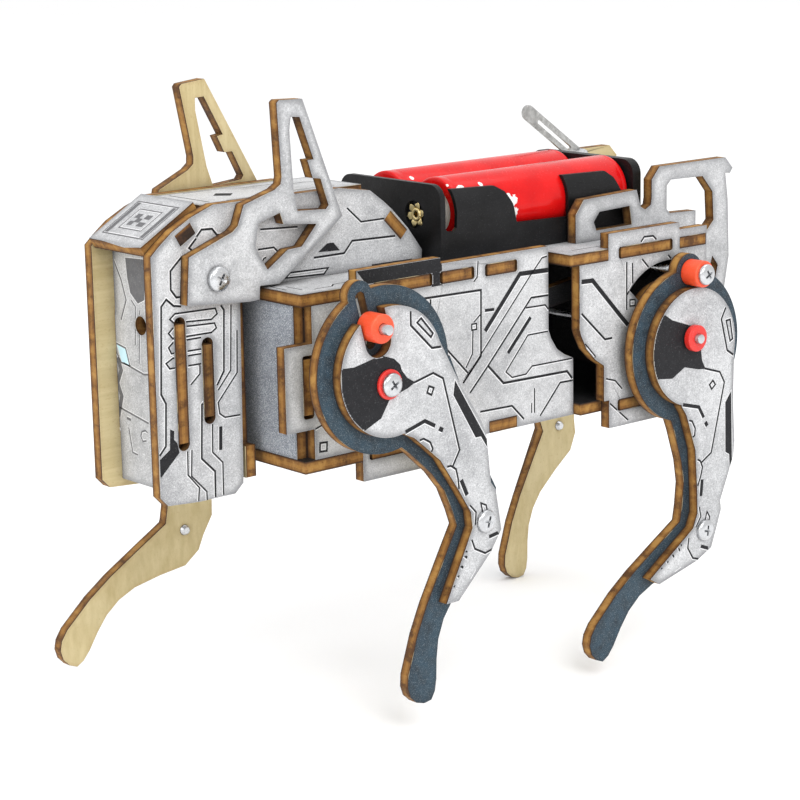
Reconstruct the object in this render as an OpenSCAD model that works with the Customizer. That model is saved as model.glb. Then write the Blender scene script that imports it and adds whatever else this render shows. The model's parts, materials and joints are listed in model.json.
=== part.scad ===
// Walking robot dog kit: laser-cut plywood plates, geared motor drive,
// two-cell holder on the back. Units mm. +X to the head, +Y to the dog's
// left, +Z up, origin under the middle of the overall box.

/* [Sheet] */

// thickness of the plywood sheet
ply = 2.5; // [2:0.1:3]

// half width over the body side panels
body_half = 24; // [22:0.5:25]

// half width over the outer hip plates
hip_half = 28.5; // [28:0.1:28.8]

// half width over the head side plates
head_half = 11; // [10:0.5:12]

// half width over the tail plates
tail_half = 19; // [18.8:0.1:19.5]

/* [Body] */

// height of the upper face of the top plate
deck_z = 89.2; // [88:0.1:90]

// height of the lower face of the bottom plate
belly_z = 54.5; // [54:0.1:55]

/* [Legs] */

// inner face of the leg back plates, measured from the centre plane
leg_y = 30.6; // [30.2:0.1:31.2]

// radius of the hip disc on the leg back plates
disc_back_r = 16.2; // [15:0.1:17]

// radius of the hip disc on the leg front plates
disc_front_r = 12.6; // [12:0.1:13]

// left front leg angle, as drawn
lf_angle = 30; // [20:1:35]

// right rear leg angle, as drawn
rr_angle = 31; // [20:1:35]

/* [Shafts] */

// radius of the two cross axles
axle_r = 1; // [0.8:0.05:1.2]

// radius of the running holes on the axles
bore_r = 1.05; // [0.9:0.05:1.3]

// outer radius of the orange sleeves
sleeve_r = 2.8; // [2.4:0.1:3]

// radius of the screw shanks
shank_r = 1.1; // [0.9:0.05:1.2]

// radius of the screw heads
head_r = 2.3; // [2:0.1:2.6]

/* [Battery] */

// diameter of one cell
cell_d = 14.2; // [13.8:0.1:14.5]

// length of one cell
cell_l = 50; // [48:0.5:51]

/* [Hidden] */

deck_lo = deck_z - ply;
belly_hi = belly_z + ply;
front_x = 51;

// front slot axle, crank centre, rear axle
ax1 = [42.7, 83.4];
crank_c = [42.6, 70.9];
ax2 = [-43.8, 69.1];

// points of one leg, from its disc centre, at zero angle
pin_l = [2.1, -1.3];      // crank pin hole, front legs
lobe_f = [-2.6, 15.7];    // top end of the slot
lobe_r = [-0.8, 15.6];     // pin in the lobe, rear legs
ax_l = [1, 2.2];          // axle hole, rear legs
knee_l = [-3.2, -40.5];   // knee screw

// unit vector along the front leg's slot, from the crank pin upwards
slot_u = (lobe_f - pin_l) / norm(lobe_f - pin_l);
// a leg-local point turned back by a degrees
function turned(p, a) = [p[0]*cos(a) + p[1]*sin(a), -p[0]*sin(a) + p[1]*cos(a)];

// disc centres; the front axle lies on the middle line of each front slot
c_lf = ax1 - turned(pin_l + 11.6*slot_u, lf_angle);
c_rf = ax1 - turned(pin_l + 14.05*slot_u, 0);
c_lr = ax2 - ax_l;
c_rr = ax2 - turned(ax_l, rr_angle);

wood = [0.78, 0.60, 0.36];
panel = [0.86, 0.87, 0.88];
blue = [0.20, 0.33, 0.42];
orange = [0.93, 0.30, 0.18];
steel = [0.75, 0.76, 0.78];

// ---- helpers -------------------------------------------------------

// plate with its outline in X and Z, from y0 to y1
module xz(y0, y1, pts) {
  translate([0, y1, 0]) rotate([90, 0, 0]) linear_extrude(y1 - y0) polygon(pts);
}
// round bar along Y
module ybar(c, r, y0, y1) {
  translate([c[0], y0, c[1]]) rotate([-90, 0, 0]) cylinder(h = y1 - y0, r = r);
}
// box from corner a to corner b
module bx(a, b) { translate(a) cube(b - a); }
// bar with round ends along Y, from p to q in X and Z
module yslot(p, q, r, y0, y1) {
  d = q - p; l = norm(d); n = [-d[1], d[0]] / l * (r - 0.01);
  ybar(p, r, y0, y1);
  ybar(q, r, y0, y1);
  xz(y0, y1, [p + n, q + n, q - n, p - n]);
}
module flip() { mirror([0, 1, 0]) children(); }
// a leg part drawn about its disc centre, turned back by a degrees
module leg_at(c, a) { translate([c[0], 0, c[1]]) rotate([0, a, 0]) children(); }

// screw along Y: shank from y0 to y1, low domed head beyond y1
module screw(c, y0, y1, hr = head_r, sr = shank_r) {
  ybar(c, sr, y0, y1 + 0.3);
  difference() {
    union() {
      ybar(c, hr, y1, y1 + 0.7);
      translate([c[0], y1 + 0.7, c[1]]) rotate([-90, 0, 0])
        cylinder(h = 0.6, r1 = hr, r2 = hr * 0.62);
    }
    bx([c[0] - 1.1, y1 + 0.6, c[1] - 0.22], [c[0] + 1.1, y1 + 2, c[1] + 0.22]);
    bx([c[0] - 0.22, y1 + 0.6, c[1] - 1.1], [c[0] + 0.22, y1 + 2, c[1] + 1.1]);
  }
}

// ---- body box ------------------------------------------------------

module top_plate() color(panel) {
  w = body_half; h = hip_half; i = body_half - ply; k = hip_half - ply;
  difference() {
    translate([0, 0, deck_lo]) linear_extrude(ply) polygon([
      [front_x, -w], [front_x, w], [37.4, w], [37.4, i],
      [32.7, i], [32.7, w], [18.9, w], [18.9, i],
      [15.5, i], [15.5, w], [7.8, w], [7.8, i],
      [3.5, i], [3.5, w], [-3.9, w], [-3.9, i], [-15.3, i],
      [-15.3, h], [-26.2, h], [-26.2, k],
      [-29.9, k], [-29.9, h], [-44.7, h], [-44.7, k],
      [-47.7, k], [-47.7, h], [-55.6, h], [-55.6, k], [-56, k],
      [-56, -k], [-55.6, -k], [-55.6, -h], [-47.7, -h], [-47.7, -k],
      [-44.7, -k], [-44.7, -h], [-29.9, -h], [-29.9, -k],
      [-26.2, -k], [-26.2, -h], [-15.3, -h], [-15.3, -i],
      [-3.9, -i], [-3.9, -w], [3.5, -w], [3.5, -i],
      [7.8, -i], [7.8, -w], [15.5, -w], [15.5, -i],
      [18.9, -i], [18.9, -w], [32.7, -w], [32.7, -i],
      [37.4, -i], [37.4, -w]]);
    // slots for the tail plate tabs
    for (s = [-1, 1]) translate([-42, s*(tail_half - ply/2) - ply/2, deck_lo - 1])
      cube([8, ply, ply + 2]);
  }
}

module bottom_plate() color(panel) {
  w = body_half; h = hip_half; i = body_half - ply; k = hip_half - ply;
  translate([0, 0, belly_z]) linear_extrude(ply) polygon([
    [front_x, -w], [front_x, w], [36.7, w], [36.7, i],
    [34.4, i], [34.4, w], [23.8, w], [23.8, i],
    [3.4, i], [3.4, w], [-4.1, w], [-4.1, i], [-20.4, i],
    [-20.4, k], [-29.6, k], [-29.6, h], [-38.5, h], [-38.5, k], [-56, k],
    [-56, -k], [-38.5, -k], [-38.5, -h], [-29.6, -h], [-29.6, -k],
    [-20.4, -k], [-20.4, -i], [-4.1, -i], [-4.1, -w], [3.4, -w],
    [3.4, -i], [23.8, -i], [23.8, -w], [34.4, -w],
    [34.4, -i], [36.7, -i], [36.7, -w]]);
}

module front_plate() color([0.55, 0.60, 0.66]) {
  i = body_half - ply;
  bx([front_x - ply, -i, belly_hi], [front_x, i, deck_lo]);
  bx([front_x - ply, -body_half, 65.9], [front_x, body_half, 76.7]);
}

module rear_plate() color(wood)
  bx([-54, -hip_half + ply, belly_hi], [-54 + ply, hip_half - ply, deck_lo]);

// tab slot with rounded corners, 0.6 mm longer than its tab at each end
module soft_slot(x0, x1, z0, z1, y0, y1, r = 0.6) {
  bx([x0 + r, y0, z0], [x1 - r, y1, z1]);
  bx([x0, y0, z0 + r], [x1, y1, z1 - r]);
  for (x = [x0 + r, x1 - r], z = [z0 + r, z1 - r]) ybar([x, z], r, y0, y1);
}
module side_panel() {
  o = body_half; i = o - ply;
  difference() {
    xz(i, o, [
      [48.5, 57], [48.5, 63], [55.2, 63], [55.2, 79.5], [48.5, 79.5],
      [48.5, 86.7], [37.4, 86.7], [37.4, 92], [16, 92], [16, 90.8],
      [-13.3, 90.8], [-13.3, 73.5], [-14, 71.6], [-15.7, 69.1],
      [-17.8, 67.7], [-20.3, 66.6], [-20.3, 54.5],
      [12, 54.5], [12, 50.5], [36.7, 50.5], [36.7, 57]]);
    for (s = [[18.2, 33.4, 86.7], [7.1, 16.2, 86.7], [-4.6, 4.2, 86.7],
              [23.1, 35.1, 54.5]])
      soft_slot(s[0], s[1], s[2], s[2] + ply, i - 1, o + 1);
    bx([-4.2, i - 1, 54.5], [3.5, o + 1, 54.5 + ply]);
    soft_slot(48.5, 51, 65.2, 77.4, i - 1, o + 1);
    ybar(crank_c, 5.8, i - 1, o + 1);
    ybar(ax1, axle_r, i - 1, o + 1);
  }
}
module left_side_panel() color(panel) side_panel();
module right_side_panel() color(panel) flip() side_panel();

module hip_plate() {
  o = hip_half; i = o - ply;
  difference() {
    xz(i, o, [
      [-17.8, 86.7], [-17.8, 73.4], [-18.2, 72.1], [-19.8, 69],
      [-22.4, 66.4], [-24.9, 64.8], [-24.9, 57.2], [-26.4, 57.2],
      [-26.4, 51.2], [-54, 51.2], [-56, 53.2], [-56, 90.8],
      [-47.5, 90.8], [-47.5, 92.3], [-26.2, 92.3], [-26.2, 86.7]]);
    soft_slot(-45.4, -29.2, deck_lo, deck_z, i - 1, o + 1);
    bx([-55.7, i - 1, deck_lo], [-47.6, o + 1, deck_z]);
    soft_slot(-39.2, -28.9, belly_z, belly_hi, i - 1, o + 1);
    ybar(ax2, axle_r, i - 1, o + 1);
    // arc slot for the lobe pin, about the rear axle
    difference() {
      ybar(ax2, 15.6, i - 1, o + 1);
      ybar(ax2, 11.2, i - 2, o + 2);
      xz(i - 2, o + 2, [ax2, ax2 + 30*[cos(43), sin(43)], ax2 + 30*[cos(-40), sin(-40)],
        ax2 + 30*[cos(-100), sin(-100)], ax2 + 30*[cos(-150), sin(-150)],
        ax2 + 30*[cos(-210), sin(-210)], ax2 + 30*[cos(-250), sin(-250)]]);
    }
  }
}
module left_hip_plate() color(panel) hip_plate();
module right_hip_plate() color(panel) flip() hip_plate();

// ---- tail ----------------------------------------------------------

module tail_plate() {
  o = tail_half; i = o - ply;
  difference() {
    union() {
      xz(i, o, [
        [-26.2, 89.2], [-26.2, 95.3], [-28.5, 98.2], [-44.4, 98.7],
        [-45.6, 95], [-47, 94.2], [-48.7, 95], [-49, 96.5], [-49, 100.4],
        [-51.4, 103], [-72.4, 103], [-74.8, 100.5], [-73.9, 99.4],
        [-72.4, 99.6], [-73.3, 93.5], [-73.8, 81], [-72.3, 73.5],
        [-69, 66], [-58, 66], [-56.3, 68], [-56.3, 89.2]]);
      bx([-41.9, i, deck_lo], [-34.1, o, deck_z]);
    }
    xz(i - 1, o + 1, [[-33.2, 95.2], [-42.2, 95.5], [-42.9, 91.4],
      [-32.3, 91.3], [-31.5, 93.2]]);
    xz(i - 1, o + 1, [[-53.7, 98.6], [-55, 99.8], [-65, 99.6], [-68.3, 95.8],
      [-68.7, 89.6], [-66.6, 87.6], [-64.2, 87.5], [-62.9, 88.6],
      [-62.9, 92.3], [-54.7, 92.6], [-53.7, 93.6]]);
    xz(i - 1, o + 1, [[-67.3, 78.6], [-68.4, 81.6], [-70.2, 79.4], [-68.9, 75]]);
  }
}
module left_tail_plate() color(panel) tail_plate();
module right_tail_plate() color(panel) difference() {
  flip() tail_plate();
  ybar([-62.1, 101.3], 0.9, -tail_half - 1, -tail_half + ply + 1);
}

// slotted steel strip on the inner face of the right tail plate
module tail_strip() color(steel)
  translate([-62.1, 0, 101.3]) rotate([0, 54.6, 0]) difference() {
    union() {
      bx([-1.7, -16.5, -2], [1.7, -15.9, 19.5]);
      ybar([0, -2], 1.7, -16.5, -15.9);
      ybar([0, 19.5], 1.7, -16.5, -15.9);
    }
    bx([-0.5, -17, 4], [0.5, -15, 15.5]);
    ybar([0, 4], 0.5, -17, -15);
    ybar([0, 15.5], 0.5, -17, -15);
    ybar([0, 0], 0.9, -17, -15);
  }
module tail_screw() color(steel) union() {
  ybar([-62.1, 101.3], 0.9, -tail_half - 0.6, -15.6);
  ybar([-62.1, 101.3], 1.9, -15.9, -14.9);
}

// ---- head ----------------------------------------------------------

brow_tab = [[69.9, 101.1], [66.4, 103.2], [65.2, 101.1], [68.7, 99]];
neck_tab = [[19.3, 98.4], [17.5, 100.2], [13.3, 95.9], [15.1, 94.1]];

// upright slot with round ends: x of its middle, z of the end centres, radius
module round_slot(x, z0, z1, r, y0, y1) {
  bx([x - r, y0, z0], [x + r, y1, z1]);
  ybar([x, z0], r, y0, y1);
  ybar([x, z1], r, y0, y1);
}
module head_plate() {
  o = head_half; i = o - ply;
  difference() {
    xz(i, o, [
      [75.5, 97.8], [75.5, 52], [73.8, 50.2], [66.8, 49.7], [58, 49.7],
      [56, 51.5], [55.4, 86.5], [53, 89.2], [9.6, 89.2], [9.4, 91.4],
      [13.1, 96.3], [17, 100.3], [19, 102], [22.8, 104.8], [30.4, 106],
      [61, 106], [66, 104.2], [70.5, 101.9], [73.6, 99.5]]);
    round_slot(69.6, 61.5, 84.5, 1.3, i - 1, o + 1);
    round_slot(63.4, 65.7, 79.8, 1.3, i - 1, o + 1);
    xz(i - 1, o + 1, brow_tab);
    xz(i - 1, o + 1, neck_tab);
    ybar([62.4, 92.5], shank_r, i - 1, o + 1);
    // seat of the body front edge under the neck
    bx([50, i - 1, 80], [53, o + 1, 89.2]);
  }
}
module left_head_plate() color(panel) head_plate();
module right_head_plate() color(panel) flip() head_plate();

module face_plate() color(panel) {
  i = head_half - ply;
  difference() {
    union() {
      bx([68.35, -i, 51.5], [70.85, i, 98.2]);
      bx([68.35, -head_half, 61.6], [70.85, head_half, 84.4]);
    }
    translate([60, 0, 82.9]) rotate([0, 90, 0]) cylinder(h = 20, r = 1.8);
  }
}
module head_inner_plate() color(wood) {
  i = head_half - ply;
  bx([62.15, -i, 55], [64.65, i, 99]);
  bx([62.15, -head_half, 65.8], [64.65, head_half, 79.7]);
}
module head_rear_plate() color(wood) {
  i = head_half - ply;
  bx([52.9, -i, 52.3], [55.35, i, 86]);
  bx([52.9, -head_half, 52.3], [55.35, head_half, 58.6]);
}
module brow_plate() color(panel) {
  i = head_half - ply;
  xz(-i, i, [[76, 99.4], [74.8, 97.4], [62.5, 104.5], [63.7, 106.6]]);
  xz(-head_half, head_half, brow_tab);
}
module head_top_plate() color(wood)
  bx([22.9, -head_half + ply, 103.3], [62.2, head_half - ply, 105.8]);
module neck_plate() color(wood) {
  i = head_half - ply;
  xz(-i, i, [[22.4, 101.5], [20.6, 103.3], [11.2, 93.9], [13, 92.1]]);
  xz(-head_half, head_half, neck_tab);
}

module ear() {
  i = head_half; o = i + ply;
  difference() {
    xz(i, o, [
      [69.4, 88.2], [68.7, 97.2], [58.5, 100.8], [57.2, 101.8],
      [55.7, 105.6], [48.3, 107.7], [46.8, 108.6], [46.5, 110],
      [47.2, 124], [46.6, 124.5], [41, 124.3], [31.9, 101], [34.7, 98.8],
      [47.8, 89.6], [52.4, 89.8], [52.6, 87.2], [55, 87.1]]);
    xz(i - 1, o + 1, [[43.9, 121.1], [41.8, 120.9], [38.7, 112.6],
      [40.2, 112.6], [39, 109], [37.1, 108.7], [35.3, 103.4],
      [36, 102.7], [42.9, 103.1], [43.7, 107.2], [44.3, 118.7]]);
    xz(i - 1, o + 1, [[52.3, 101.7], [47.2, 103.2], [46.4, 100.9],
      [38.4, 100.1], [42.2, 96.1], [45.6, 95.9], [50.5, 92.7], [53.2, 97.2]]);
    ybar([62.4, 92.5], shank_r + 0.05, i - 1, o + 1);
  }
}
module left_ear() color(panel) ear();
module right_ear() color(wood) flip()
  translate([62.4, 0, 92.5]) rotate([0, 8.5, 0]) translate([-62.4, 0, -92.5]) ear();
module ear_screws() color(steel) {
  y = head_half;
  screw([62.4, 92.5], y - ply, y + ply + 0.3, 2.4);
  flip() screw([62.4, 92.5], y - ply, y + ply + 0.3, 2.4);
}

// ---- legs ----------------------------------------------------------

ly0 = leg_y;
ly1 = leg_y + ply;
ly2 = leg_y + 2*ply;

// long back plate of a leg
module shin_back() {
  xz(ly0, ly1, [
    [4.5, -15.5], [3.4, -18.2], [1.2, -25], [0.4, -30], [0.9, -35],
    [1.5, -38.3], [8.3, -42.3], [15.8, -46.8], [21, -50.5], [27, -55.9],
    [28.4, -58], [28.8, -60], [28.2, -62], [26.8, -63.5], [25, -64.2],
    [23.4, -63.3], [21.8, -61.4], [19.6, -57.9], [17.2, -54.8],
    [14, -52.2], [10, -50.4], [3.4, -49.1], [-3.1, -48.3], [-6.7, -45.6],
    [-8.1, -42.5], [-10.5, -38.6], [-10.6, -35], [-12, -28], [-12.9, -22],
    [-14.5, -8], [0, 0]]);
}
module cover_shape() {
  xz(ly1, ly2, [
    [4, -12.2], [2.5, -14.3], [1.2, -17.8], [-0.4, -22.4], [-1, -30.7],
    [-1.2, -36.5], [0.1, -39.6], [13.3, -48.2], [10.5, -49.8],
    [-1.2, -47], [-5.7, -44.9], [-7.2, -41], [-8.7, -36.9],
    [-8.4, -34.9], [-10.7, -29.8], [-12.5, -25.6], [-12.8, -22.4],
    [-12.2, -13.4], [-12.4, -2], [0, 0]]);
  ybar([0, 0], disc_front_r, ly1, ly2);
}

module front_leg_back() {
  u = slot_u;
  difference() {
    union() {
      shin_back();
      ybar([0, 0], disc_back_r, ly0, ly1);
      ybar(lobe_f, 2.9, ly0, ly1);
    }
    yslot(pin_l + 8*u, pin_l + 17.3*u, axle_r + 0.1, ly0 - 1, ly1 + 1);
    ybar(pin_l, shank_r, ly0 - 1, ly1 + 1);
    ybar(knee_l, shank_r, ly0 - 1, ly1 + 1);
  }
}
module front_leg_cover() {
  u = slot_u;
  difference() {
    cover_shape();
    yslot(pin_l + 8.8*u, pin_l + 22*u, sleeve_r + 0.35, ly1 - 1, ly2 + 1);
    ybar(pin_l, shank_r, ly1 - 1, ly2 + 1);
    ybar(knee_l, shank_r, ly1 - 1, ly2 + 1);
  }
}
module rear_leg_back() {
  difference() {
    union() {
      shin_back();
      ybar([0, 0], disc_back_r, ly0, ly1);
      ybar(lobe_r, 3.9, ly0, ly1);
    }
    ybar(lobe_r, shank_r, ly0 - 1, ly1 + 1);
    ybar(ax_l, bore_r, ly0 - 1, ly1 + 1);
    ybar(knee_l, shank_r, ly0 - 1, ly1 + 1);
  }
}
module rear_leg_cover() {
  difference() {
    cover_shape();
    ybar(ax_l, bore_r, ly1 - 1, ly2 + 1);
    ybar(knee_l, shank_r, ly1 - 1, ly2 + 1);
  }
}
module knee_screw() screw(knee_l, ly0 - 0.9, ly2);
module front_pin() screw(pin_l, 24.6, ly2 + 0.7, 2.3);
module front_washer() difference() {
  ybar(pin_l, 2.9, ly2, ly2 + 0.7);
  ybar(pin_l, shank_r, ly2 - 1, ly2 + 2);
}
// screw and sleeve in the lobe of a rear leg
module rear_pin() screw(lobe_r, 17.2, ly1 + 4.4, 2.2);
module rear_sleeve() difference() {
  ybar(lobe_r, sleeve_r, ly1, ly1 + 4.4);
  ybar(lobe_r, shank_r, ly1 - 1, ly1 + 6);
}
// sleeve turning on the front axle, inside the slot of the leg
module front_sleeve(y0 = ly1 + 0.3) difference() {
  ybar(ax1, sleeve_r, y0, ly2 + 2.3);
  ybar(ax1, bore_r, y0 - 1, ly2 + 4);
}

module left_front_leg_back() color(blue) leg_at(c_lf, lf_angle) front_leg_back();
module left_front_leg_cover() color(panel) leg_at(c_lf, lf_angle) front_leg_cover();
module left_front_knee_screw() color(steel) leg_at(c_lf, lf_angle) knee_screw();
module left_front_pin() color(steel) leg_at(c_lf, lf_angle) front_pin();
module left_front_washer() color(orange) leg_at(c_lf, lf_angle) front_washer();
module left_front_sleeve() color(orange) front_sleeve();

module right_front_leg_back() color(wood) flip() leg_at(c_rf, 0) front_leg_back();
module right_front_leg_cover() color(panel) flip() leg_at(c_rf, 0) front_leg_cover();
module right_front_knee_screw() color(steel) flip() leg_at(c_rf, 0) knee_screw();
module right_front_pin() color(steel) flip() leg_at(c_rf, 0) front_pin();
module right_front_washer() color(orange) flip() leg_at(c_rf, 0) front_washer();
module right_front_sleeve() color(orange) flip() front_sleeve();

module left_rear_leg_back() color(blue) leg_at(c_lr, 0) rear_leg_back();
module left_rear_leg_cover() color(panel) leg_at(c_lr, 0) rear_leg_cover();
module left_rear_knee_screw() color(steel) leg_at(c_lr, 0) knee_screw();
module left_rear_pin() color(steel) leg_at(c_lr, 0) rear_pin();
module left_rear_sleeve() color(orange) leg_at(c_lr, 0) rear_sleeve();

module right_rear_leg_back() color(wood) flip() leg_at(c_rr, rr_angle) rear_leg_back();
module right_rear_leg_cover() color(panel) flip() leg_at(c_rr, rr_angle) rear_leg_cover();
module right_rear_knee_screw() color(steel) flip() leg_at(c_rr, rr_angle) knee_screw();
module right_rear_pin() color(steel) flip() leg_at(c_rr, rr_angle) rear_pin();
module right_rear_sleeve() color(orange) flip() leg_at(c_rr, rr_angle) rear_sleeve();

// ---- drive ---------------------------------------------------------

module front_axle() color(steel) ybar(ax1, axle_r, -ly2 - 4.2, ly2 + 4.2);
module rear_axle() color(steel) ybar(ax2, axle_r, -ly2 - 2.8, ly2 + 2.8);
module axle_cap() difference() {
  ybar(ax2, sleeve_r, ly2 + 0.3, ly2 + 1.8);
  ybar(ax2, axle_r, ly2, ly2 + 3);
}
module rear_axle_caps() color(orange) { axle_cap(); flip() axle_cap(); }

// plywood link from the rear lobe pin (at p) forward to the crank
module link(p) difference() {
  union() {
    ybar(p, 3.4, 17, 19.5);
    yslot(p, p + [82.7, -10.6], 2.1, 17, 19.5);
  }
  ybar(p, shank_r + 0.05, 16, 21);
  ybar(p + [82.7, -10.6], shank_r + 0.05, 16, 21);
}
module left_link() color(wood) link(c_lr + lobe_r);
module right_link() color(wood) flip() link(c_rr + turned(lobe_r, rr_angle));

module crank_shaft() color(steel) ybar(crank_c, 1.5, -16, 16);
module crank() difference() {
  ybar(crank_c, 5.4, 13.5, 16);
  ybar(crank_c, 1.5, 12, 18);
}
module left_crank() color(wood) crank();
module right_crank() color(wood) flip() crank();
module gearbox() color([0.92, 0.92, 0.88]) difference() {
  union() {
    bx([22, -9, belly_hi], [47.8, 9, 81.2]);
    ybar(crank_c, 3.2, -11, 11);
  }
  ybar(crank_c, 1.6, -12, 12);
}
module motor() color([0.7, 0.71, 0.73]) {
  difference() {
    translate([-3, 0, 70.9]) rotate([0, 90, 0]) cylinder(h = 25, r = 10);
    for (s = [-1, 1]) translate([-4, s > 0 ? 7.6 : -17.6, 50]) cube([27, 10, 40]);
  }
  translate([-5, 0, 70.9]) rotate([0, 90, 0]) cylinder(h = 2.2, r = 3);
}

// ---- battery -------------------------------------------------------

cz = deck_z + 1.7 + cell_d/2;
module wing_ring(s) intersection() {
  translate([-50, s*7.65, cz]) rotate([0, 90, 0]) difference() {
    cylinder(h = 60, r = 8.1);
    translate([0, 0, -1]) cylinder(h = 62, r = 7.3);
  }
  bx([-50, s > 0 ? 7.65 : -16, cz], [10, s > 0 ? 16 : -7.65, cz + 9]);
}
module battery_holder() color([0.09, 0.09, 0.1]) difference() {
  union() {
    bx([-49, -15.75, deck_z], [8.5, 15.75, deck_z + 1.5]);
    for (s = [-1, 1]) {
      y0 = s > 0 ? 14.95 : -15.75;
      // low side wall with two holding wings
      xz(y0, y0 + 0.8, [[-49, deck_z], [8.5, deck_z], [8.5, 95.7],
        [7.2, 95.7], [6.6, 95.1], [4.8, 95.1], [4.2, 95.7], [4.1, cz],
        [-11.7, cz], [-12.4, 95], [-27.2, 94.6], [-27.2, cz],
        [-43, cz], [-43.2, 95], [-49, 95]]);
      // the wings curl inward over the cells above their axis
      intersection() {
        xz(-16, 16, [[4.1, cz], [4, 103.3], [-7.6, 102.9],
          [-9.8, 101.6], [-11.4, 99], [-11.7, cz]]);
        wing_ring(s);
      }
      intersection() {
        xz(-16, 16, [[-27.2, cz], [-27.2, 103.1], [-39.6, 102.8],
          [-41.4, 101.4], [-43, 98.4], [-43, cz]]);
        wing_ring(s);
      }
    }
    // end walls, corners rounded off
    for (x = [[7.2, 8.5], [-49, -46.6]]) intersection() {
      bx([x[0], -15.75, deck_z], [x[1], 15.75, 104.6]);
      union() {
        bx([x[0] - 1, -12.5, deck_z], [x[1] + 1, 12.5, 105]);
        bx([x[0] - 1, -15.75, deck_z], [x[1] + 1, 15.75, 101.4]);
        for (s = [-1, 1]) translate([x[0] - 1, s*12.5, 101.35]) rotate([0, 90, 0])
          cylinder(h = 5, r = 3.25);
      }
    }
    // ridge between the cells
    bx([-47, -0.45, deck_z], [7, 0.45, 93.5]);
  }
  for (s = [-1, 1]) {
    translate([7.7, s*7.65, cz]) rotate([0, 90, 0]) cylinder(h = 3, r = 2.9);
    translate([-60, s*7.65, cz]) rotate([0, 90, 0]) cylinder(h = 80, r = 1.2);
  }
}
module cell() {
  translate([-46, 7.65, cz]) rotate([0, 90, 0]) cylinder(h = cell_l - 1, r = cell_d/2);
  translate([-46 + cell_l - 1.01, 7.65, cz]) rotate([0, 90, 0]) cylinder(h = 1.01, r = 2.8);
}
module left_cell() color([0.8, 0.1, 0.1]) cell();
module right_cell() color([0.8, 0.1, 0.1]) flip() cell();

// brass rivets with a six-petal flare, one at each end of each cell
module rivet(x0, x1, d) {
  translate([min(x0, x1), 0, 0]) rotate([0, 90, 0]) cylinder(h = abs(x1 - x0), r = 1.2);
  translate([x0 - (d > 0 ? 0 : 0.5), 0, 0]) {
    rotate([0, 90, 0]) cylinder(h = 0.5, r = 1.5);
    for (a = [0:60:300]) rotate([a, 0, 0]) bx([0, -0.55, 1], [0.5, 0.55, 2.6]);
  }
}
module cell_contacts() color([0.85, 0.68, 0.3]) for (s = [-1, 1]) {
  translate([0, s*7.65, cz]) {
    rivet(7.75, 5, 1);
    rivet(-49, -46.1, -1);
    bx([4.9, -4, -4], [5.3, 4, 4]);
    bx([-46.5, -4, -4], [-46.1, 4, 4]);
  }
}

// sets the origin under the middle of the overall box
module placed() translate([-0.5, 0, 0.5]) children();

// ---- parts ---------------------------------------------------------

placed() top_plate();
placed() bottom_plate();
placed() front_plate();
placed() rear_plate();
placed() left_side_panel();
placed() right_side_panel();
placed() left_hip_plate();
placed() right_hip_plate();
placed() left_tail_plate();
placed() right_tail_plate();
placed() tail_strip();
placed() tail_screw();
placed() left_head_plate();
placed() right_head_plate();
placed() face_plate();
placed() head_inner_plate();
placed() head_rear_plate();
placed() brow_plate();
placed() head_top_plate();
placed() neck_plate();
placed() left_ear();
placed() right_ear();
placed() ear_screws();
placed() left_front_leg_back();
placed() left_front_leg_cover();
placed() left_front_knee_screw();
placed() left_front_pin();
placed() left_front_washer();
placed() left_front_sleeve();
placed() right_front_leg_back();
placed() right_front_leg_cover();
placed() right_front_knee_screw();
placed() right_front_pin();
placed() right_front_washer();
placed() right_front_sleeve();
placed() left_rear_leg_back();
placed() left_rear_leg_cover();
placed() left_rear_knee_screw();
placed() left_rear_pin();
placed() left_rear_sleeve();
placed() right_rear_leg_back();
placed() right_rear_leg_cover();
placed() right_rear_knee_screw();
placed() right_rear_pin();
placed() right_rear_sleeve();
placed() front_axle();
placed() rear_axle();
placed() rear_axle_caps();
placed() left_link();
placed() right_link();
placed() crank_shaft();
placed() left_crank();
placed() right_crank();
placed() gearbox();
placed() motor();
placed() battery_holder();
placed() left_cell();
placed() right_cell();
placed() cell_contacts();
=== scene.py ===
import json
import math
import random
import bpy
import bmesh
from mathutils import Vector, Matrix
from mathutils.bvhtree import BVHTree
from mathutils.geometry import tessellate_polygon


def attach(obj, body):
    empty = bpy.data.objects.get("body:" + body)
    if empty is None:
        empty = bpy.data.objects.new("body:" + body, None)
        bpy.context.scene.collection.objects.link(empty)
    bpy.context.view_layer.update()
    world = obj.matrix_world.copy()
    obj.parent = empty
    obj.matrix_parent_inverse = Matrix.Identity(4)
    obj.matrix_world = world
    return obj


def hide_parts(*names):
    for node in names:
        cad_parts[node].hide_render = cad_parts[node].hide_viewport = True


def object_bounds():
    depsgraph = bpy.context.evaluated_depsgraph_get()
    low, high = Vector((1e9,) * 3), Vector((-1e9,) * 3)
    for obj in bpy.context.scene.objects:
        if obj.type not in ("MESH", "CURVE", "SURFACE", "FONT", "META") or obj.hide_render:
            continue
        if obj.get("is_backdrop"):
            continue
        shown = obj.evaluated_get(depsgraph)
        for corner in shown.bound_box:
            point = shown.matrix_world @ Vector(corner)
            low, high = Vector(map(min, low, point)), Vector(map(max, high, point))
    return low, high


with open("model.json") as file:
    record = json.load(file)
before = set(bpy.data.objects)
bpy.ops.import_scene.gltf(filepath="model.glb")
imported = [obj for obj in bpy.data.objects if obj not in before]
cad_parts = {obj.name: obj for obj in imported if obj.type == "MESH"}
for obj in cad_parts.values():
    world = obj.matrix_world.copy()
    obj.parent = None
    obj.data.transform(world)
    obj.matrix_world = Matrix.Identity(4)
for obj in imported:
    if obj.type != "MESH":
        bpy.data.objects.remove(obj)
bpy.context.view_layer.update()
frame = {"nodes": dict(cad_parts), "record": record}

NODES = frame["nodes"]
REC = frame["record"]
BODY = {}
for _b, _ns in REC["behaviour"]["bodies"].items():
    for _n in _ns:
        BODY[_n] = _b
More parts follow.
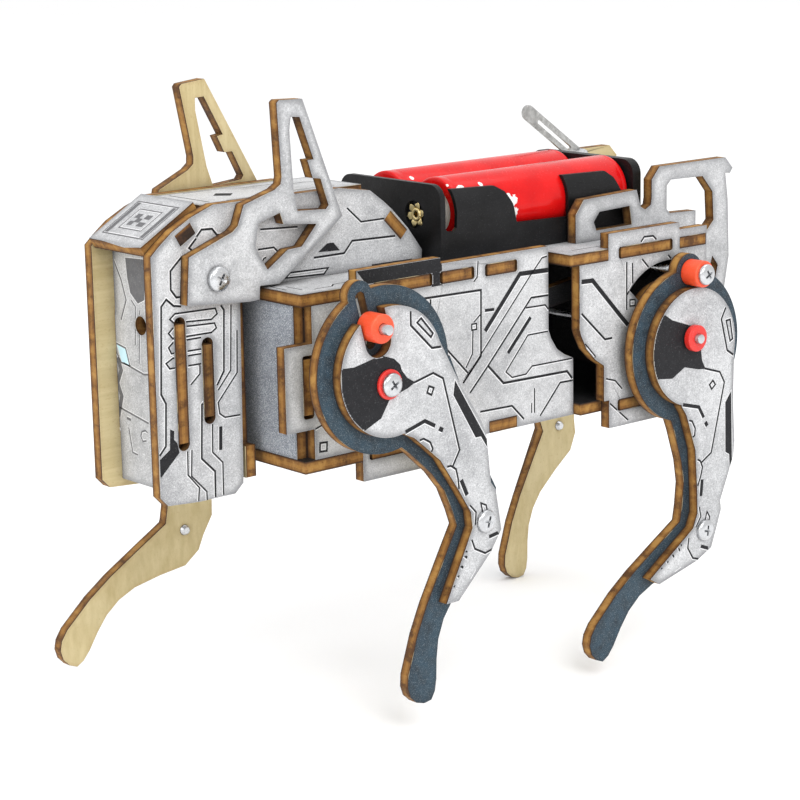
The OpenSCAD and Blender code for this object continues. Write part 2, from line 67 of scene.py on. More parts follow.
MM = 0.001
COL = bpy.context.scene.collection


# ---- small node-tree builder ---------------------------------------

class Mat:
    def __init__(self, name):
        self.m = bpy.data.materials.new(name)
        self.m.use_nodes = True
        self.t = self.m.node_tree
        self.t.nodes.clear()
        self.out = self.n("ShaderNodeOutputMaterial")
        self.b = self.n("ShaderNodeBsdfPrincipled")
        self.t.links.new(self.b.outputs["BSDF"], self.out.inputs["Surface"])
        tc = self.n("ShaderNodeTexCoord")
        self.pos = self.vm("SCALE", tc.outputs["Object"], s=1000.0)
        self.nrm = tc.outputs["Normal"]

    def n(self, kind, **kw):
        node = self.t.nodes.new(kind)
        for k, v in kw.items():
            setattr(node, k, v)
        return node

    def put(self, sock, v):
        if isinstance(v, bpy.types.NodeSocket):
            self.t.links.new(v, sock)
        elif v is not None:
            if hasattr(sock.default_value, "__len__"):
                v = tuple(v)
                if len(sock.default_value) == 4 and len(v) == 3:
                    v = v + (1.0,)
            sock.default_value = v

    def vm(self, op, a, b=None, s=None):
        n = self.n("ShaderNodeVectorMath", operation=op)
        self.put(n.inputs[0], a)
        if b is not None:
            self.put(n.inputs[1], b)
        if s is not None:
            self.put(n.inputs["Scale"], s)
        return n.outputs["Value"] if op in ("DOT_PRODUCT", "LENGTH", "DISTANCE") else n.outputs["Vector"]

    def f(self, op, a, b=None, c=None, clamp=False):
        n = self.n("ShaderNodeMath", operation=op, use_clamp=clamp)
        for i, v in enumerate((a, b, c)):
            if v is not None:
                self.put(n.inputs[i], v)
        return n.outputs[0]

    def map(self, v, a, b, c=0.0, d=1.0, smooth=False):
        n = self.n("ShaderNodeMapRange", clamp=True)
        if smooth:
            n.interpolation_type = "SMOOTHSTEP"
        for i, x in enumerate((v, a, b, c, d)):
            self.put(n.inputs[i], x)
        return n.outputs[0]

    def noise(self, vec, scale, detail=2.0, rough=0.5, dist=0.0):
        n = self.n("ShaderNodeTexNoise")
        self.put(n.inputs["Vector"], vec)
        n.inputs["Scale"].default_value = scale
        n.inputs["Detail"].default_value = detail
        n.inputs["Roughness"].default_value = rough
        n.inputs["Distortion"].default_value = dist
        return n.outputs["Fac"] if "Fac" in n.outputs else n.outputs[0]

    def voronoi(self, vec, scale, feature="F1", rand=1.0):
        n = self.n("ShaderNodeTexVoronoi", feature=feature)
        self.put(n.inputs["Vector"], vec)
        n.inputs["Scale"].default_value = scale
        n.inputs["Randomness"].default_value = rand
        return n.outputs["Distance"]

    def ramp(self, fac, stops):
        n = self.n("ShaderNodeValToRGB")
        self.put(n.inputs[0], fac)
        e = n.color_ramp.elements
        while len(e) < len(stops):
            e.new(0.5)
        for x, (p, c) in zip(e, stops):
            x.position = p
            x.color = tuple(c) + (1.0,)
        return n.outputs[0]

    def mix(self, fac, a, b, mode="MIX"):
        n = self.n("ShaderNodeMix", data_type="RGBA", blend_type=mode)
        ins = [s for s in n.inputs if s.enabled]
        self.put(ins[0], fac)
        self.put(ins[1], a)
        self.put(ins[2], b)
        return [s for s in n.outputs if s.enabled][0]

    def bump(self, height, dist_mm, strength=1.0):
        n = self.n("ShaderNodeBump")
        n.inputs["Strength"].default_value = strength
        n.inputs["Distance"].default_value = dist_mm * MM
        self.put(n.inputs["Height"], height)
        self.put(self.b.inputs["Normal"], n.outputs[0])

    def stretch(self, k, seed=0.0):
        v = self.vm("MULTIPLY", self.pos, k)
        return self.vm("ADD", v, (seed * 7.3, seed * 3.1, seed * 5.7))


# ---- plywood -------------------------------------------------------

PRINT_LO, PRINT_HI = (0.15, 0.152, 0.16), (0.60, 0.605, 0.615)


def ply_material(name, axis, lo, hi, front, back, seed, dark=1.0, grain=(1, 0, 0)):
    """Plywood sheet: axis is the outward normal of the printed face, lo and hi
    its two faces along that axis in mm."""
    m = Mat(name)
    ax = Vector(axis)
    na = m.vm("DOT_PRODUCT", m.nrm, tuple(ax))
    isf = m.f("GREATER_THAN", na, 0.6)
    isb = m.f("LESS_THAN", na, -0.6)
    flat = m.f("ADD", isf, isb)
    t = m.map(m.vm("DOT_PRODUCT", m.pos, tuple(ax)), lo, hi)
    p = m.stretch((1, 1, 1), seed)
    flatpos = m.vm("MULTIPLY", p, tuple(0.0 if abs(c) > 0.5 else 1.0 for c in ax))

    big = m.noise(p, 0.055, 3.0, 0.55)
    mid = m.noise(p, 0.42, 4.0, 0.62)
    fine = m.noise(p, 2.6, 3.0, 0.75)
    grit = m.noise(p, 6.5, 1.0, 0.6)

    # distance to an edge of the face, from the bevelled normal
    bv = m.n("ShaderNodeBevel", samples=6)
    bv.inputs["Radius"].default_value = 1.7 * MM
    geo = m.n("ShaderNodeNewGeometry")
    turn = m.f("SUBTRACT", 1.0, m.vm("DOT_PRODUCT", bv.outputs[0], geo.outputs["Normal"]))
    near = m.map(turn, 0.0, 0.16, 0.0, 1.0, smooth=True)
    soot = m.f("MULTIPLY", near, m.map(mid, 0.35, 0.62, 0.35, 1.0))
    bw = m.n("ShaderNodeBevel", samples=8)
    bw.inputs["Radius"].default_value = 3.6 * MM
    wide = m.map(m.f("SUBTRACT", 1.0, m.vm("DOT_PRODUCT", bw.outputs[0], geo.outputs["Normal"])), 0.0, 0.13, 0.0, 1.0, smooth=True)
    haze = m.f("MULTIPLY", wide, m.map(big, 0.38, 0.56, 0.15, 1.0))

    speckle = m.f("MULTIPLY", m.map(grit, 0.56, 0.68), m.map(mid, 0.36, 0.60, 0.45, 1.0))
    cloud = m.map(m.f("ADD", m.f("MULTIPLY", big, 0.55), m.f("MULTIPLY", mid, 0.45)), 0.37, 0.58)

    def skin(kind):
        if kind == "print":
            c = m.mix(cloud, (0.355, 0.359, 0.369), PRINT_HI)
            c = m.mix(m.map(fine, 0.51, 0.68, 0.0, 0.50), c, (0.25, 0.252, 0.262))
            c = m.mix(m.map(fine, 0.47, 0.34, 0.0, 0.45), c, (0.80, 0.80, 0.81))
            c = m.mix(m.f("MULTIPLY", speckle, 0.60), c, (0.12, 0.12, 0.128))
            c = m.mix(m.map(grit, 0.38, 0.28, 0.0, 0.55), c, (0.90, 0.90, 0.91))
            c = m.mix(m.f("MULTIPLY", haze, 0.72), c, (0.22, 0.222, 0.23))
            return m.mix(m.f("MULTIPLY", soot, 0.72), c, PRINT_LO)
        if kind == "slate":
            c = m.mix(m.map(mid, 0.34, 0.66), (0.012, 0.021, 0.031), (0.026, 0.054, 0.080))
            c = m.mix(m.map(big, 0.42, 0.62, 0.0, 0.45), c, (0.036, 0.071, 0.099))
            c = m.mix(m.map(fine, 0.52, 0.68, 0.0, 0.34), c, (0.095, 0.135, 0.160))
            c = m.mix(m.map(grit, 0.40, 0.30, 0.0, 0.55), c, (0.26, 0.31, 0.34))
            c = m.mix(m.map(grit, 0.60, 0.74, 0.0, 0.6), c, (0.007, 0.010, 0.014))
            return m.mix(m.f("MULTIPLY", soot, 0.45), c, (0.010, 0.012, 0.014))
        if kind == "haze":
            c = m.mix(m.map(mid, 0.32, 0.68), (0.185, 0.205, 0.235), (0.310, 0.335, 0.370))
            c = m.mix(m.map(fine, 0.50, 0.64, 0.0, 0.60), c, (0.42, 0.445, 0.485))
            c = m.mix(m.map(grit, 0.42, 0.32, 0.0, 0.85), c, (0.78, 0.80, 0.83))
            c = m.mix(m.map(grit, 0.56, 0.68, 0.0, 0.65), c, (0.055, 0.060, 0.075))
            return m.mix(m.f("MULTIPLY", soot, 0.7), c, (0.060, 0.062, 0.072))
        # black skin: near-black colour for the inner faces of the body and for the links, painted shade standing in for
        # the dark inside of the body
        if kind == "black":
            c = m.mix(m.map(mid, 0.34, 0.66), (0.009, 0.009, 0.010), (0.021, 0.021, 0.023))
            c = m.mix(m.map(fine, 0.56, 0.70, 0.0, 0.5), c, (0.060, 0.060, 0.063))
            c = m.mix(m.map(grit, 0.38, 0.30, 0.0, 0.45), c, (0.16, 0.16, 0.165))
            return m.mix(m.f("MULTIPLY", soot, 0.5), c, (0.020, 0.012, 0.007))
        # bare birch: long fibres, short pores, lighter patches
        g = Vector(grain)
        k = tuple(0.05 + 0.95 * (1 - abs(c)) for c in g)
        fib = m.noise(m.stretch(tuple(x * 1.0 for x in k), seed + 2), 0.9, 5.0, 0.62)
        por = m.noise(m.stretch(tuple(0.35 + 0.65 * (1 - abs(c)) for c in g), seed + 5), 4.2, 1.0, 0.5)
        c = m.mix(m.map(fib, 0.34, 0.66), (0.47, 0.375, 0.185), (0.585, 0.485, 0.265))
        c = m.mix(m.map(big, 0.40, 0.62, 0.0, 0.4), c, (0.66, 0.57, 0.345))
        c = m.mix(m.map(por, 0.62, 0.75, 0.0, 0.45), c, (0.42, 0.30, 0.14))
        return m.mix(m.f("MULTIPLY", soot, 0.42), c, (0.36, 0.22, 0.09))

    col = skin(front)
    if back != front:
        col = m.mix(isb, col, skin(back))

    # laser-cut edge: charred borders, amber-brown core, soft mottling along the sheet
    across = tuple(0.42 if abs(c) > 0.5 else 1.0 for c in ax)
    streak = m.noise(m.stretch(across, seed + 1), 0.46, 3.0, 0.55, 0.4)
    slow = m.noise(p, 0.13, 3.0, 0.55)
    flake = m.noise(m.stretch((1, 1, 1), seed + 4), 2.4, 2.0, 0.55)
    core = m.ramp(t, [(0.0, (0.016, 0.008, 0.004)), (0.075, (0.060, 0.025, 0.008)), (0.20, (0.195, 0.084, 0.018)),
                      (0.34, (0.205, 0.088, 0.019)), (0.40, (0.275, 0.130, 0.028)), (0.62, (0.285, 0.136, 0.030)),
                      (0.68, (0.200, 0.086, 0.018)), (0.82, (0.190, 0.080, 0.017)), (0.93, (0.062, 0.026, 0.008)),
                      (1.0, (0.016, 0.008, 0.004))])
    tone = m.f("ADD", m.f("ADD", m.f("MULTIPLY", streak, 0.46), m.f("MULTIPLY", slow, 0.38)), m.f("MULTIPLY", flake, 0.16))
    inner = m.f("MULTIPLY", m.map(t, 0.07, 0.30, smooth=True), m.map(t, 0.94, 0.72, smooth=True))
    e = m.mix(m.f("MULTIPLY", m.map(tone, 0.48, 0.62, 0.0, 0.85, smooth=True), inner), core, (0.420, 0.225, 0.055))
    e = m.mix(m.map(tone, 0.49, 0.38, 0.0, 0.80, smooth=True), e, (0.058, 0.022, 0.007))
    e = m.mix(m.map(flake, 0.60, 0.70, 0.0, 0.22), e, (0.030, 0.012, 0.005))
    tick = m.map(m.voronoi(flatpos, 1 / 9.5), 0.034, 0.020)
    e = m.mix(m.f("MULTIPLY", tick, m.map(t, 0.02, 0.08)), e, (0.78, 0.62, 0.34))
    rim = m.f("MULTIPLY", m.map(t, 0.955, 0.975), m.map(m.noise(p, 0.21, 2.0, 0.5), 0.50, 0.60))
    e = m.mix(m.f("MULTIPLY", rim, 0.75), e, (0.66, 0.52, 0.28))
    if dark != 1.0:
        e = m.mix(1.0, e, (dark, dark, dark), "MULTIPLY")
    col = m.mix(flat, e, col)
    # painted shade: darkens the colour towards (0.030, 0.027, 0.025) where other surfaces come within 5 mm (ambient
    # occlusion), mottled by noise
    ao = m.n("ShaderNodeAmbientOcclusion", samples=4)
    ao.inputs["Distance"].default_value = 5.0 * MM
    painted_occlusion_shade = m.f("MULTIPLY", m.map(ao.outputs["AO"], 0.80, 0.25, smooth=True), m.map(mid, 0.34, 0.60, 0.55, 1.0))
    col = m.mix(m.f("MULTIPLY", painted_occlusion_shade, 0.62), col, (0.030, 0.027, 0.025))
    m.put(m.b.inputs["Base Color"], col)
    m.put(m.b.inputs["Roughness"], m.map(m.f("ADD", mid, m.f("MULTIPLY", flat, -0.25)), 0.2, 0.8, 0.52, 0.86))
    h = m.f("ADD", m.f("MULTIPLY", fine, 0.5), m.f("MULTIPLY", streak, m.f("SUBTRACT", 1.0, flat)))
    m.bump(h, 0.14, 0.55)
    m.b.inputs["Specular IOR Level"].default_value = 0.32
    return m.m


AXES = {}
def sheet(node, axis, lo, hi, front="print", back="bare", grain=(1, 0, 0), dark=1.0):
    AXES[node] = (axis, lo, hi, front, back, grain, dark)

Yp, Yn, Xp, Zp, Zn = (0, 1, 0), (0, -1, 0), (1, 0, 0), (0, 0, 1), (0, 0, -1)
# back="black" and the black links are painted shade: the inside of the body is coloured near-black to stand in for its
# shade
for side, ax in (("left", Yp), ("right", Yn)):
    sheet(side + "_side_panel", ax, 21.5, 24, back="black")
    sheet(side + "_hip_plate", ax, 26, 28.5, back="black")
    sheet(side + "_tail_plate", ax, 16.5, 19)
    sheet(side + "_head_plate", ax, 8.5, 11)
    sheet(side + "_ear", ax, 11, 13.5, grain=(0, 0, 1))
    sheet(side + "_link", ax, 17, 19.5, "black", "black")
    sheet(side + "_crank", ax, 13.5, 16, "bare")
    for end in ("front", "rear"):
        sheet(f"{side}_{end}_leg_back", ax, 30.6, 33.1, "slate", "bare", (0.5, 0, 0.86))
        sheet(f"{side}_{end}_leg_cover", ax, 33.1, 35.6, grain=(0.5, 0, 0.86))
# the inner faces of top, bottom and rear plates are near-black: painted shade for the dark inside of the body
sheet("top_plate", Zp, 87.2, 89.7, back="black")
sheet("bottom_plate", Zn, -57.5, -55.0, back="black")
sheet("front_plate", Xp, 48.0, 50.5, "haze", grain=(0, 1, 0))
sheet("rear_plate", (-1, 0, 0), 52.0, 54.5, "print", "black", grain=(0, 1, 0))
sheet("face_plate", Xp, 67.85, 70.35, grain=(0, 0, 1))
sheet("head_inner_plate", Xp, 61.65, 64.15, "bare", grain=(0, 0, 1), dark=0.6)
sheet("head_rear_plate", Xp, 52.4, 54.85, "bare", grain=(0, 1, 0))
sheet("head_top_plate", Zp, 103.8, 106.3, grain=(1, 0, 0))
_e = Vector((-12.3, 0, 7.2)).normalized()
_nb = Vector((_e.z, 0, -_e.x))
_p0 = Vector((75.5, 0, 99.9)); _p1 = Vector((74.3, 0, 97.9))
sheet("brow_plate", tuple(_nb), _p1.dot(_nb), _p0.dot(_nb), grain=(0, 1, 0))
_nn = Vector((-0.7071, 0, 0.7071))
sheet("neck_plate", tuple(_nn), Vector((21.9, 0, 102.0)).dot(_nn), Vector((20.1, 0, 103.8)).dot(_nn), grain=(0, 1, 0))


def give(obj, mat):
    obj.data.materials.clear()
    obj.data.materials.append(mat)


random.seed(7)
for i, (node, (axis, lo, hi, front, back, grain, dark)) in enumerate(sorted(AXES.items())):
    give(NODES[node], ply_material("ply_" + node, axis, lo, hi, front, back, 1.0 + i * 1.37, dark, grain))


# ---- metals and plastics -------------------------------------------

def steel(name, seed, base=(0.62, 0.63, 0.645), rough=0.24, brush=(1, 0.08, 1), worn=0.35):
    m = Mat(name)
    s = m.noise(m.stretch(brush, seed), 5.5, 3.0, 0.6)
    c = m.noise(m.stretch((1, 1, 1), seed), 0.8, 3.0, 0.6)
    sc = m.noise(m.stretch((0.5, 3.0, 0.6), seed + 3), 2.4, 2.0, 0.5)
    col = m.mix(m.map(c, 0.35, 0.68, 0.0, worn), base, tuple(x * 0.55 for x in base))
    col = m.mix(m.map(sc, 0.64, 0.72, 0.0, 0.4), col, (0.86, 0.86, 0.85))
    m.put(m.b.inputs["Base Color"], col)
    m.put(m.b.inputs["Roughness"], m.map(m.f("ADD", m.f("MULTIPLY", s, 0.6), m.f("MULTIPLY", c, 0.4)), 0.3, 0.7, rough * 0.7, rough * 1.6))
    m.b.inputs["Metallic"].default_value = 1.0
    m.bump(s, 0.03, 0.35)
    return m.m


def plastic(name, seed, lo, hi, rough=(0.3, 0.5), coat=0.0, grain=1.6, speck=(0.6, 0.6, 0.6), speck_amt=0.25, bump=0.03, spec=0.5):
    m = Mat(name)
    p = m.stretch((1, 1, 1), seed)
    a = m.noise(p, 0.16, 3.0, 0.5)
    b = m.noise(p, grain, 3.0, 0.65)
    d = m.noise(p, 5.0, 1.0, 0.5)
    scr = m.noise(m.stretch((0.25, 2.2, 2.2), seed + 1), 1.5, 2.0, 0.5)
    col = m.mix(m.map(a, 0.35, 0.65), lo, hi)
    col = m.mix(m.f("MULTIPLY", m.map(d, 0.66, 0.74), speck_amt), col, speck)
    m.put(m.b.inputs["Base Color"], col)
    r = m.f("ADD", m.map(b, 0.3, 0.7, rough[0], rough[1]), m.map(scr, 0.62, 0.72, 0.0, 0.18))
    m.put(m.b.inputs["Roughness"], r)
    m.bump(b, bump, 0.6)
    m.b.inputs["Specular IOR Level"].default_value = spec
    if coat:
        m.b.inputs["Coat Weight"].default_value = coat
        m.b.inputs["Coat Roughness"].default_value = 0.08
    return m.m


ZINC = steel("zinc_bright", 1.0)
ROD = steel("steel_rod", 2.0, (0.58, 0.59, 0.61), 0.26, (1, 0.08, 1))
STRIP = steel("galvanised_strip", 3.0, (0.50, 0.50, 0.49), 0.34, (1, 1, 0.08), 0.75)
# motor can darkened to near-black grey: painted shade so the inside of the body reads dark
MOTOR_CAN_SHADE_DARK = steel("motor_can", 4.0, (0.13, 0.13, 0.14), 0.40, (0.08, 1, 1))
BRASS = steel("brass_rivet", 5.0, (0.93, 0.76, 0.38), 0.20, (1, 1, 1), 0.5)
ORANGE = plastic("orange_sleeve", 6.0, (0.80, 0.070, 0.020), (0.88, 0.10, 0.030), (0.30, 0.46), 0.0, 1.4, (0.98, 0.45, 0.3), 0.25)
RED = plastic("red_washer", 7.0, (0.62, 0.018, 0.014), (0.74, 0.03, 0.02), (0.26, 0.42))
BLACK = plastic("holder_black", 8.0, (0.0035, 0.0035, 0.004), (0.008, 0.008, 0.009), (0.34, 0.52), 0.0, 1.2, (0.30, 0.30, 0.31), 0.10, 0.05, 0.22)
# gear case made near-black: painted shade so the inside of the body reads dark
NYLON_CASE_SHADE_DARK = plastic("gear_case", 9.0, (0.018, 0.018, 0.020), (0.030, 0.030, 0.032), (0.38, 0.55))


def wrap_material(name, seed, chips):
    """Red shrink sleeve with the print worn off in places; white where chipped."""
    m = Mat(name)
    p = m.stretch((1, 1, 1), seed)
    a = m.noise(p, 0.2, 3.0, 0.5)
    chipn = m.noise(m.stretch((0.9, 1.0, 1.0), seed + 3), 0.36, 6.0, 0.68)
    small = m.noise(p, 1.7, 4.0, 0.7)
    area = None
    for (cx, cy, cz, r) in chips:
        d = m.vm("DISTANCE", m.pos, (cx, cy, cz))
        g = m.map(d, r, r * 0.25, 0.0, 1.0, smooth=True)
        area = g if area is None else m.f("MAXIMUM", area, g)
    chip = m.f("MULTIPLY", m.map(m.f("ADD", m.f("MULTIPLY", area, 0.30), chipn), 0.70, 0.715), m.map(area, 0.02, 0.10))
    dots = m.f("MULTIPLY", m.map(m.f("ADD", m.f("MULTIPLY", area, 0.10), small), 0.775, 0.79), 0.85)
    white = m.f("MAXIMUM", chip, dots)
    col = m.mix(m.map(a, 0.35, 0.65), (0.58, 0.004, 0.005), (0.68, 0.007, 0.007))
    col = m.mix(white, col, (0.86, 0.84, 0.82))
    m.put(m.b.inputs["Base Color"], col)
    m.put(m.b.inputs["Roughness"], m.f("ADD", m.map(small, 0.3, 0.7, 0.16, 0.30), m.f("MULTIPLY", white, 0.35)))
    m.bump(m.f("SUBTRACT", m.f("MULTIPLY", a, 0.3), white), 0.05, 0.6)
    m.b.inputs["Specular IOR Level"].default_value = 0.16
    m.b.inputs["Coat Weight"].default_value = 0.10
    m.b.inputs["Coat Roughness"].default_value = 0.06
    return m.m


WRAP_L = wrap_material("cell_wrap_left", 11.0, [(-12.7, 14.7, 97.0, 2.8), (-12.3, 14.3, 100.2, 3.0), (-0.4, 12.8, 103.6, 1.9), (-6.0, 12.5, 103.9, 1.1),
                                               (2.4, 11.6, 104.4, 0.7)])
WRAP_R = wrap_material("cell_wrap_right", 12.0, [(-1.0, -3.2, 104.6, 1.2), (-38.0, -14.5, 100, 2.0)])

for n in ("tail_screw", "crank_shaft"):
    give(NODES[n], ZINC)
for n in ("front_axle", "rear_axle"):
    give(NODES[n], ROD)
give(NODES["tail_strip"], STRIP)
give(NODES["motor"], MOTOR_CAN_SHADE_DARK)
give(NODES["gearbox"], NYLON_CASE_SHADE_DARK)
give(NODES["battery_holder"], BLACK)
give(NODES["cell_contacts"], BRASS)
give(NODES["rear_axle_caps"], ORANGE)
for n in list(NODES):
    if n.endswith("_sleeve"):
        give(NODES[n], ORANGE)
    elif n.endswith("_washer"):
        give(NODES[n], RED)
    elif n.endswith("_knee_screw") or n.endswith("_pin") or n == "ear_screws":
        give(NODES[n], ZINC)
    elif n.endswith("_cell"):
        give(NODES[n], WRAP_L if n == "left_cell" else WRAP_R)


# ---- softened edges on the CAD pieces ------------------------------

def soften(o, width_mm, seg=2, angle=32, weighted=False):
    w = o.modifiers.new("weld", "WELD")
    w.merge_threshold = 2e-6
    b = o.modifiers.new("bevel", "BEVEL")
    b.width = width_mm * MM
    b.segments = seg
    b.limit_method = "ANGLE"
    b.angle_limit = math.radians(angle)
    b.use_clamp_overlap = True
    if weighted:
        n = o.modifiers.new("normals", "WEIGHTED_NORMAL")
        n.keep_sharp = False


for node in AXES:
    soften(NODES[node], 0.09)
soften(NODES["battery_holder"], 0.22, 3, 40, True)
soften(NODES["gearbox"], 0.4, 3, 40, True)
soften(NODES["motor"], 0.35, 3, 40, True)
soften(NODES["tail_strip"], 0.10, 2, 40)
soften(NODES["tail_screw"], 0.15, 2, 40, True)


# ---- turned pieces -------------------------------------------------

def new_obj(name, verts, faces, mats, body, idx=None, sharp=40, smooth=True):
    me = bpy.data.meshes.new(name)
    me.from_pydata([tuple(Vector(v) * MM) for v in verts], [], faces)
    me.update()
    bm = bmesh.new(); bm.from_mesh(me)
    bmesh.ops.remove_doubles(bm, verts=bm.verts, dist=1e-7)
    bmesh.ops.recalc_face_normals(bm, faces=bm.faces)
    bm.to_mesh(me); bm.free()
    for m in mats:
        me.materials.append(m)
    if idx is not None and len(idx) == len(me.polygons):
        me.polygons.foreach_set("material_index", idx)
    if smooth:
        me.shade_smooth()
        me.set_sharp_from_angle(angle=math.radians(sharp))
    o = bpy.data.objects.new(name, me)
    COL.objects.link(o)
    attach(o, body)
    return o


def frame_of(axis):
    a = Vector(axis).normalized()
    u = a.orthogonal().normalized()
    return a, u, a.cross(u)


def lathe(centre, axis, profile, seg=48, closed=False):
    """Turned shape: profile is (radius, height) along axis from centre, mm."""
    a, u, v = frame_of(axis)
    c = Vector(centre)
    V, F, P = [], [], []
    n = len(profile)
    for r, h in profile:
        for k in range(seg):
            t = 2 * math.pi * k / seg
            V.append(c + a * h + (u * math.cos(t) + v * math.sin(t)) * max(r, 0.0))
    for i in range(n if closed else n - 1):
        j = (i + 1) % n
        for k in range(seg):
            q = (k + 1) % seg
            f = [i * seg + k, i * seg + q, j * seg + q, j * seg + k]
            if profile[i][0] <= 1e-6:
                f = [i * seg, j * seg + q, j * seg + k]
            elif profile[j][0] <= 1e-6:
                f = [i * seg + k, i * seg + q, j * seg]
            F.append(f); P.append(i)
    return V, F, P


def merge(*parts):
    V, F, P = [], [], []
    for v, f, p in parts:
        o = len(V)
        V += v
        F += [[i + o for i in q] for q in f]
        P += p
    return V, F, P


def box_mesh(a, b):
    V = [(x, y, z) for x in (a[0], b[0]) for y in (a[1], b[1]) for z in (a[2], b[2])]
    F = [[0, 1, 3, 2], [4, 6, 7, 5], [0, 4, 5, 1], [2, 3, 7, 6], [0, 2, 6, 4], [1, 5, 7, 3]]
    return [Vector(v) for v in V], F, [0] * 6


def plain_mesh(V, F):
    me = bpy.data.meshes.new("tmp")
    me.from_pydata([tuple(Vector(v) * MM) for v in V], [], F)
    me.update()
    bm = bmesh.new(); bm.from_mesh(me)
    bmesh.ops.remove_doubles(bm, verts=bm.verts, dist=1e-7)
    bmesh.ops.recalc_face_normals(bm, faces=bm.faces)
    bm.to_mesh(me); bm.free()
    o = bpy.data.objects.new("tmp", me)
    COL.objects.link(o)
    return o


def screw_mesh(c, base, side, hr, shank0, sr=1.1, turn=0.0):
    """Cross-head pan screw along Y. base: y where the head sits, shank0: tip."""
    a = (0, side, 0)
    L = base - shank0
    prof = [(0.0, -L), (sr * 0.62, -L), (sr * 0.93, -L + 0.35)]
    h = -L + 0.45
    while h < -0.75:
        prof += [(sr * 0.985, h), (sr * 0.86, h + 0.2)]
        h += 0.4
    prof += [(sr * 0.97, -0.35), (sr * 0.97, 0.0), (hr * 0.93, 0.0), (hr * 0.99, 0.06), (hr, 0.16), (hr, 0.46)]
    for k in range(1, 9):
        t = k / 8 * math.pi / 2
        prof.append((hr * (0.42 + 0.58 * math.cos(t)), 0.46 + 0.80 * math.sin(t)))
    prof.append((0.0, 1.27))
    V, F, P = lathe((c[0], side * base, c[1]), a, prof, 40)
    head = plain_mesh(V, F)
    ca, sa = math.cos(turn), math.sin(turn)
    cut = []
    for k in range(2):
        ang = turn + k * math.pi / 2
        d = Vector((math.cos(ang), 0, math.sin(ang)))
        e = Vector((-math.sin(ang), 0, math.cos(ang)))
        top, bot = side * (base + 1.6), side * (base + 0.25)
        o = Vector((c[0], 0, c[1]))
        vs = []
        for y, l, w in ((top, hr * 0.60, 0.27), (bot, hr * 0.20, 0.16)):
            for s1, s2 in ((1, 1), (1, -1), (-1, -1), (-1, 1)):
                p = o + d * (l * s1) + e * (w * s2); p.y = y
                vs.append(p)
        cut.append((vs, [[0, 1, 2, 3], [7, 6, 5, 4], [0, 4, 5, 1], [1, 5, 6, 2], [2, 6, 7, 3], [3, 7, 4, 0]], [0] * 6))
    cutters = [plain_mesh(v, f) for v, f, _ in cut]
    for k, cu in enumerate(cutters):
        m = head.modifiers.new("cut%d" % k, "BOOLEAN")
        m.operation = "DIFFERENCE"; m.solver = "EXACT"; m.object = cu
    dg = bpy.context.evaluated_depsgraph_get()
    me = bpy.data.meshes.new_from_object(head.evaluated_get(dg))
    out = ([Vector(v.co) / MM for v in me.vertices], [list(p.vertices) for p in me.polygons], [0] * len(me.polygons))
    for o in [head] + cutters:
        bpy.data.objects.remove(o, do_unlink=True)
    return out


def turned(p, deg):
    a = math.radians(deg)
    return (p[0] * math.cos(a) + p[1] * math.sin(a), -p[0] * math.sin(a) + p[1] * math.cos(a))


def untorn(p, deg):
    return turned(p, -deg)


PIN, LOBE_F, LOBE_R, AX_L, KNEE = (2.1, -1.3), (-2.6, 15.7), (-0.8, 15.6), (1.0, 2.2), (-3.2, -40.5)
AX1, AX2 = (42.2, 83.9), (-44.3, 69.6)
_d = Vector((LOBE_F[0] - PIN[0], LOBE_F[1] - PIN[1])).normalized()
SU = (_d.x, _d.y)


def centre(base, local, deg):
    t = turned(local, deg)
    return (base[0] - t[0], base[1] - t[1])


LEG = {
    "left_front": (centre(AX1, (PIN[0] + 11.6 * SU[0], PIN[1] + 11.6 * SU[1]), 30), 30, 1),
    "right_front": (centre(AX1, (PIN[0] + 14.05 * SU[0], PIN[1] + 14.05 * SU[1]), 0), 0, -1),
    "left_rear": (centre(AX2, AX_L, 0), 0, 1),
    "right_rear": (centre(AX2, AX_L, 31), 31, -1),
}


def at_leg(leg, p):
    c, a, _ = LEG[leg]
    t = turned(p, a)
    return (c[0] + t[0], c[1] + t[1])


def solid_of(name, part, mats, slot, *nodes, idx=None, sharp=40):
    o = new_obj(name, part[0], part[1], mats, BODY[nodes[0]], idx, sharp)
    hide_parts(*nodes)
    return o


sc = merge(screw_mesh((61.9, 93.0), 13.8, 1, 2.4, 8.6, turn=0.5), screw_mesh((61.9, 93.0), 13.8, -1, 2.4, 8.6, turn=0.9))
solid_of("ear_screws_turned", sc, [ZINC], "zinc_steel", "ear_screws")
for i, (leg, (c, a, s)) in enumerate(LEG.items()):
    solid_of(leg + "_knee_screw_turned", screw_mesh(at_leg(leg, KNEE), 35.6, s, 2.3, 29.7, turn=0.3 + i * 0.7),
             [ZINC], "zinc_steel", leg + "_knee_screw")
    if "front" in leg:
        solid_of(leg + "_pin_turned", screw_mesh(at_leg(leg, PIN), 36.3, s, 2.3, 24.6, turn=1.0 + i),
                 [ZINC], "zinc_steel", leg + "_pin")
    else:
        solid_of(leg + "_pin_turned", screw_mesh(at_leg(leg, LOBE_R), 37.5, s, 2.2, 17.2, turn=0.6 + i),
                 [ZINC], "zinc_steel", leg + "_pin")


def tube(c, y0, y1, r, bore, side, e=0.32, bulge=0.0):
    """Soft sleeve along Y with rounded rims."""
    L = y1 - y0
    p = []
    for k in range(5):
        t = k / 4 * math.pi / 2
        p.append((r - e + e * math.sin(t), e - e * math.cos(t)))
    for k in range(1, 6):
        p.append((r + bulge * math.sin(math.pi * k / 6), e + (L - 2 * e) * k / 6))
    for k in range(5):
        t = k / 4 * math.pi / 2
        p.append((r - e + e * math.cos(t), L - e + e * math.sin(t)))
    b = 0.12
    p += [(bore + b, L), (bore, L - b), (bore, b), (bore + b, 0.0)]
    return lathe((c[0], side * y0, c[1]), (0, side, 0), p, 56, closed=True)


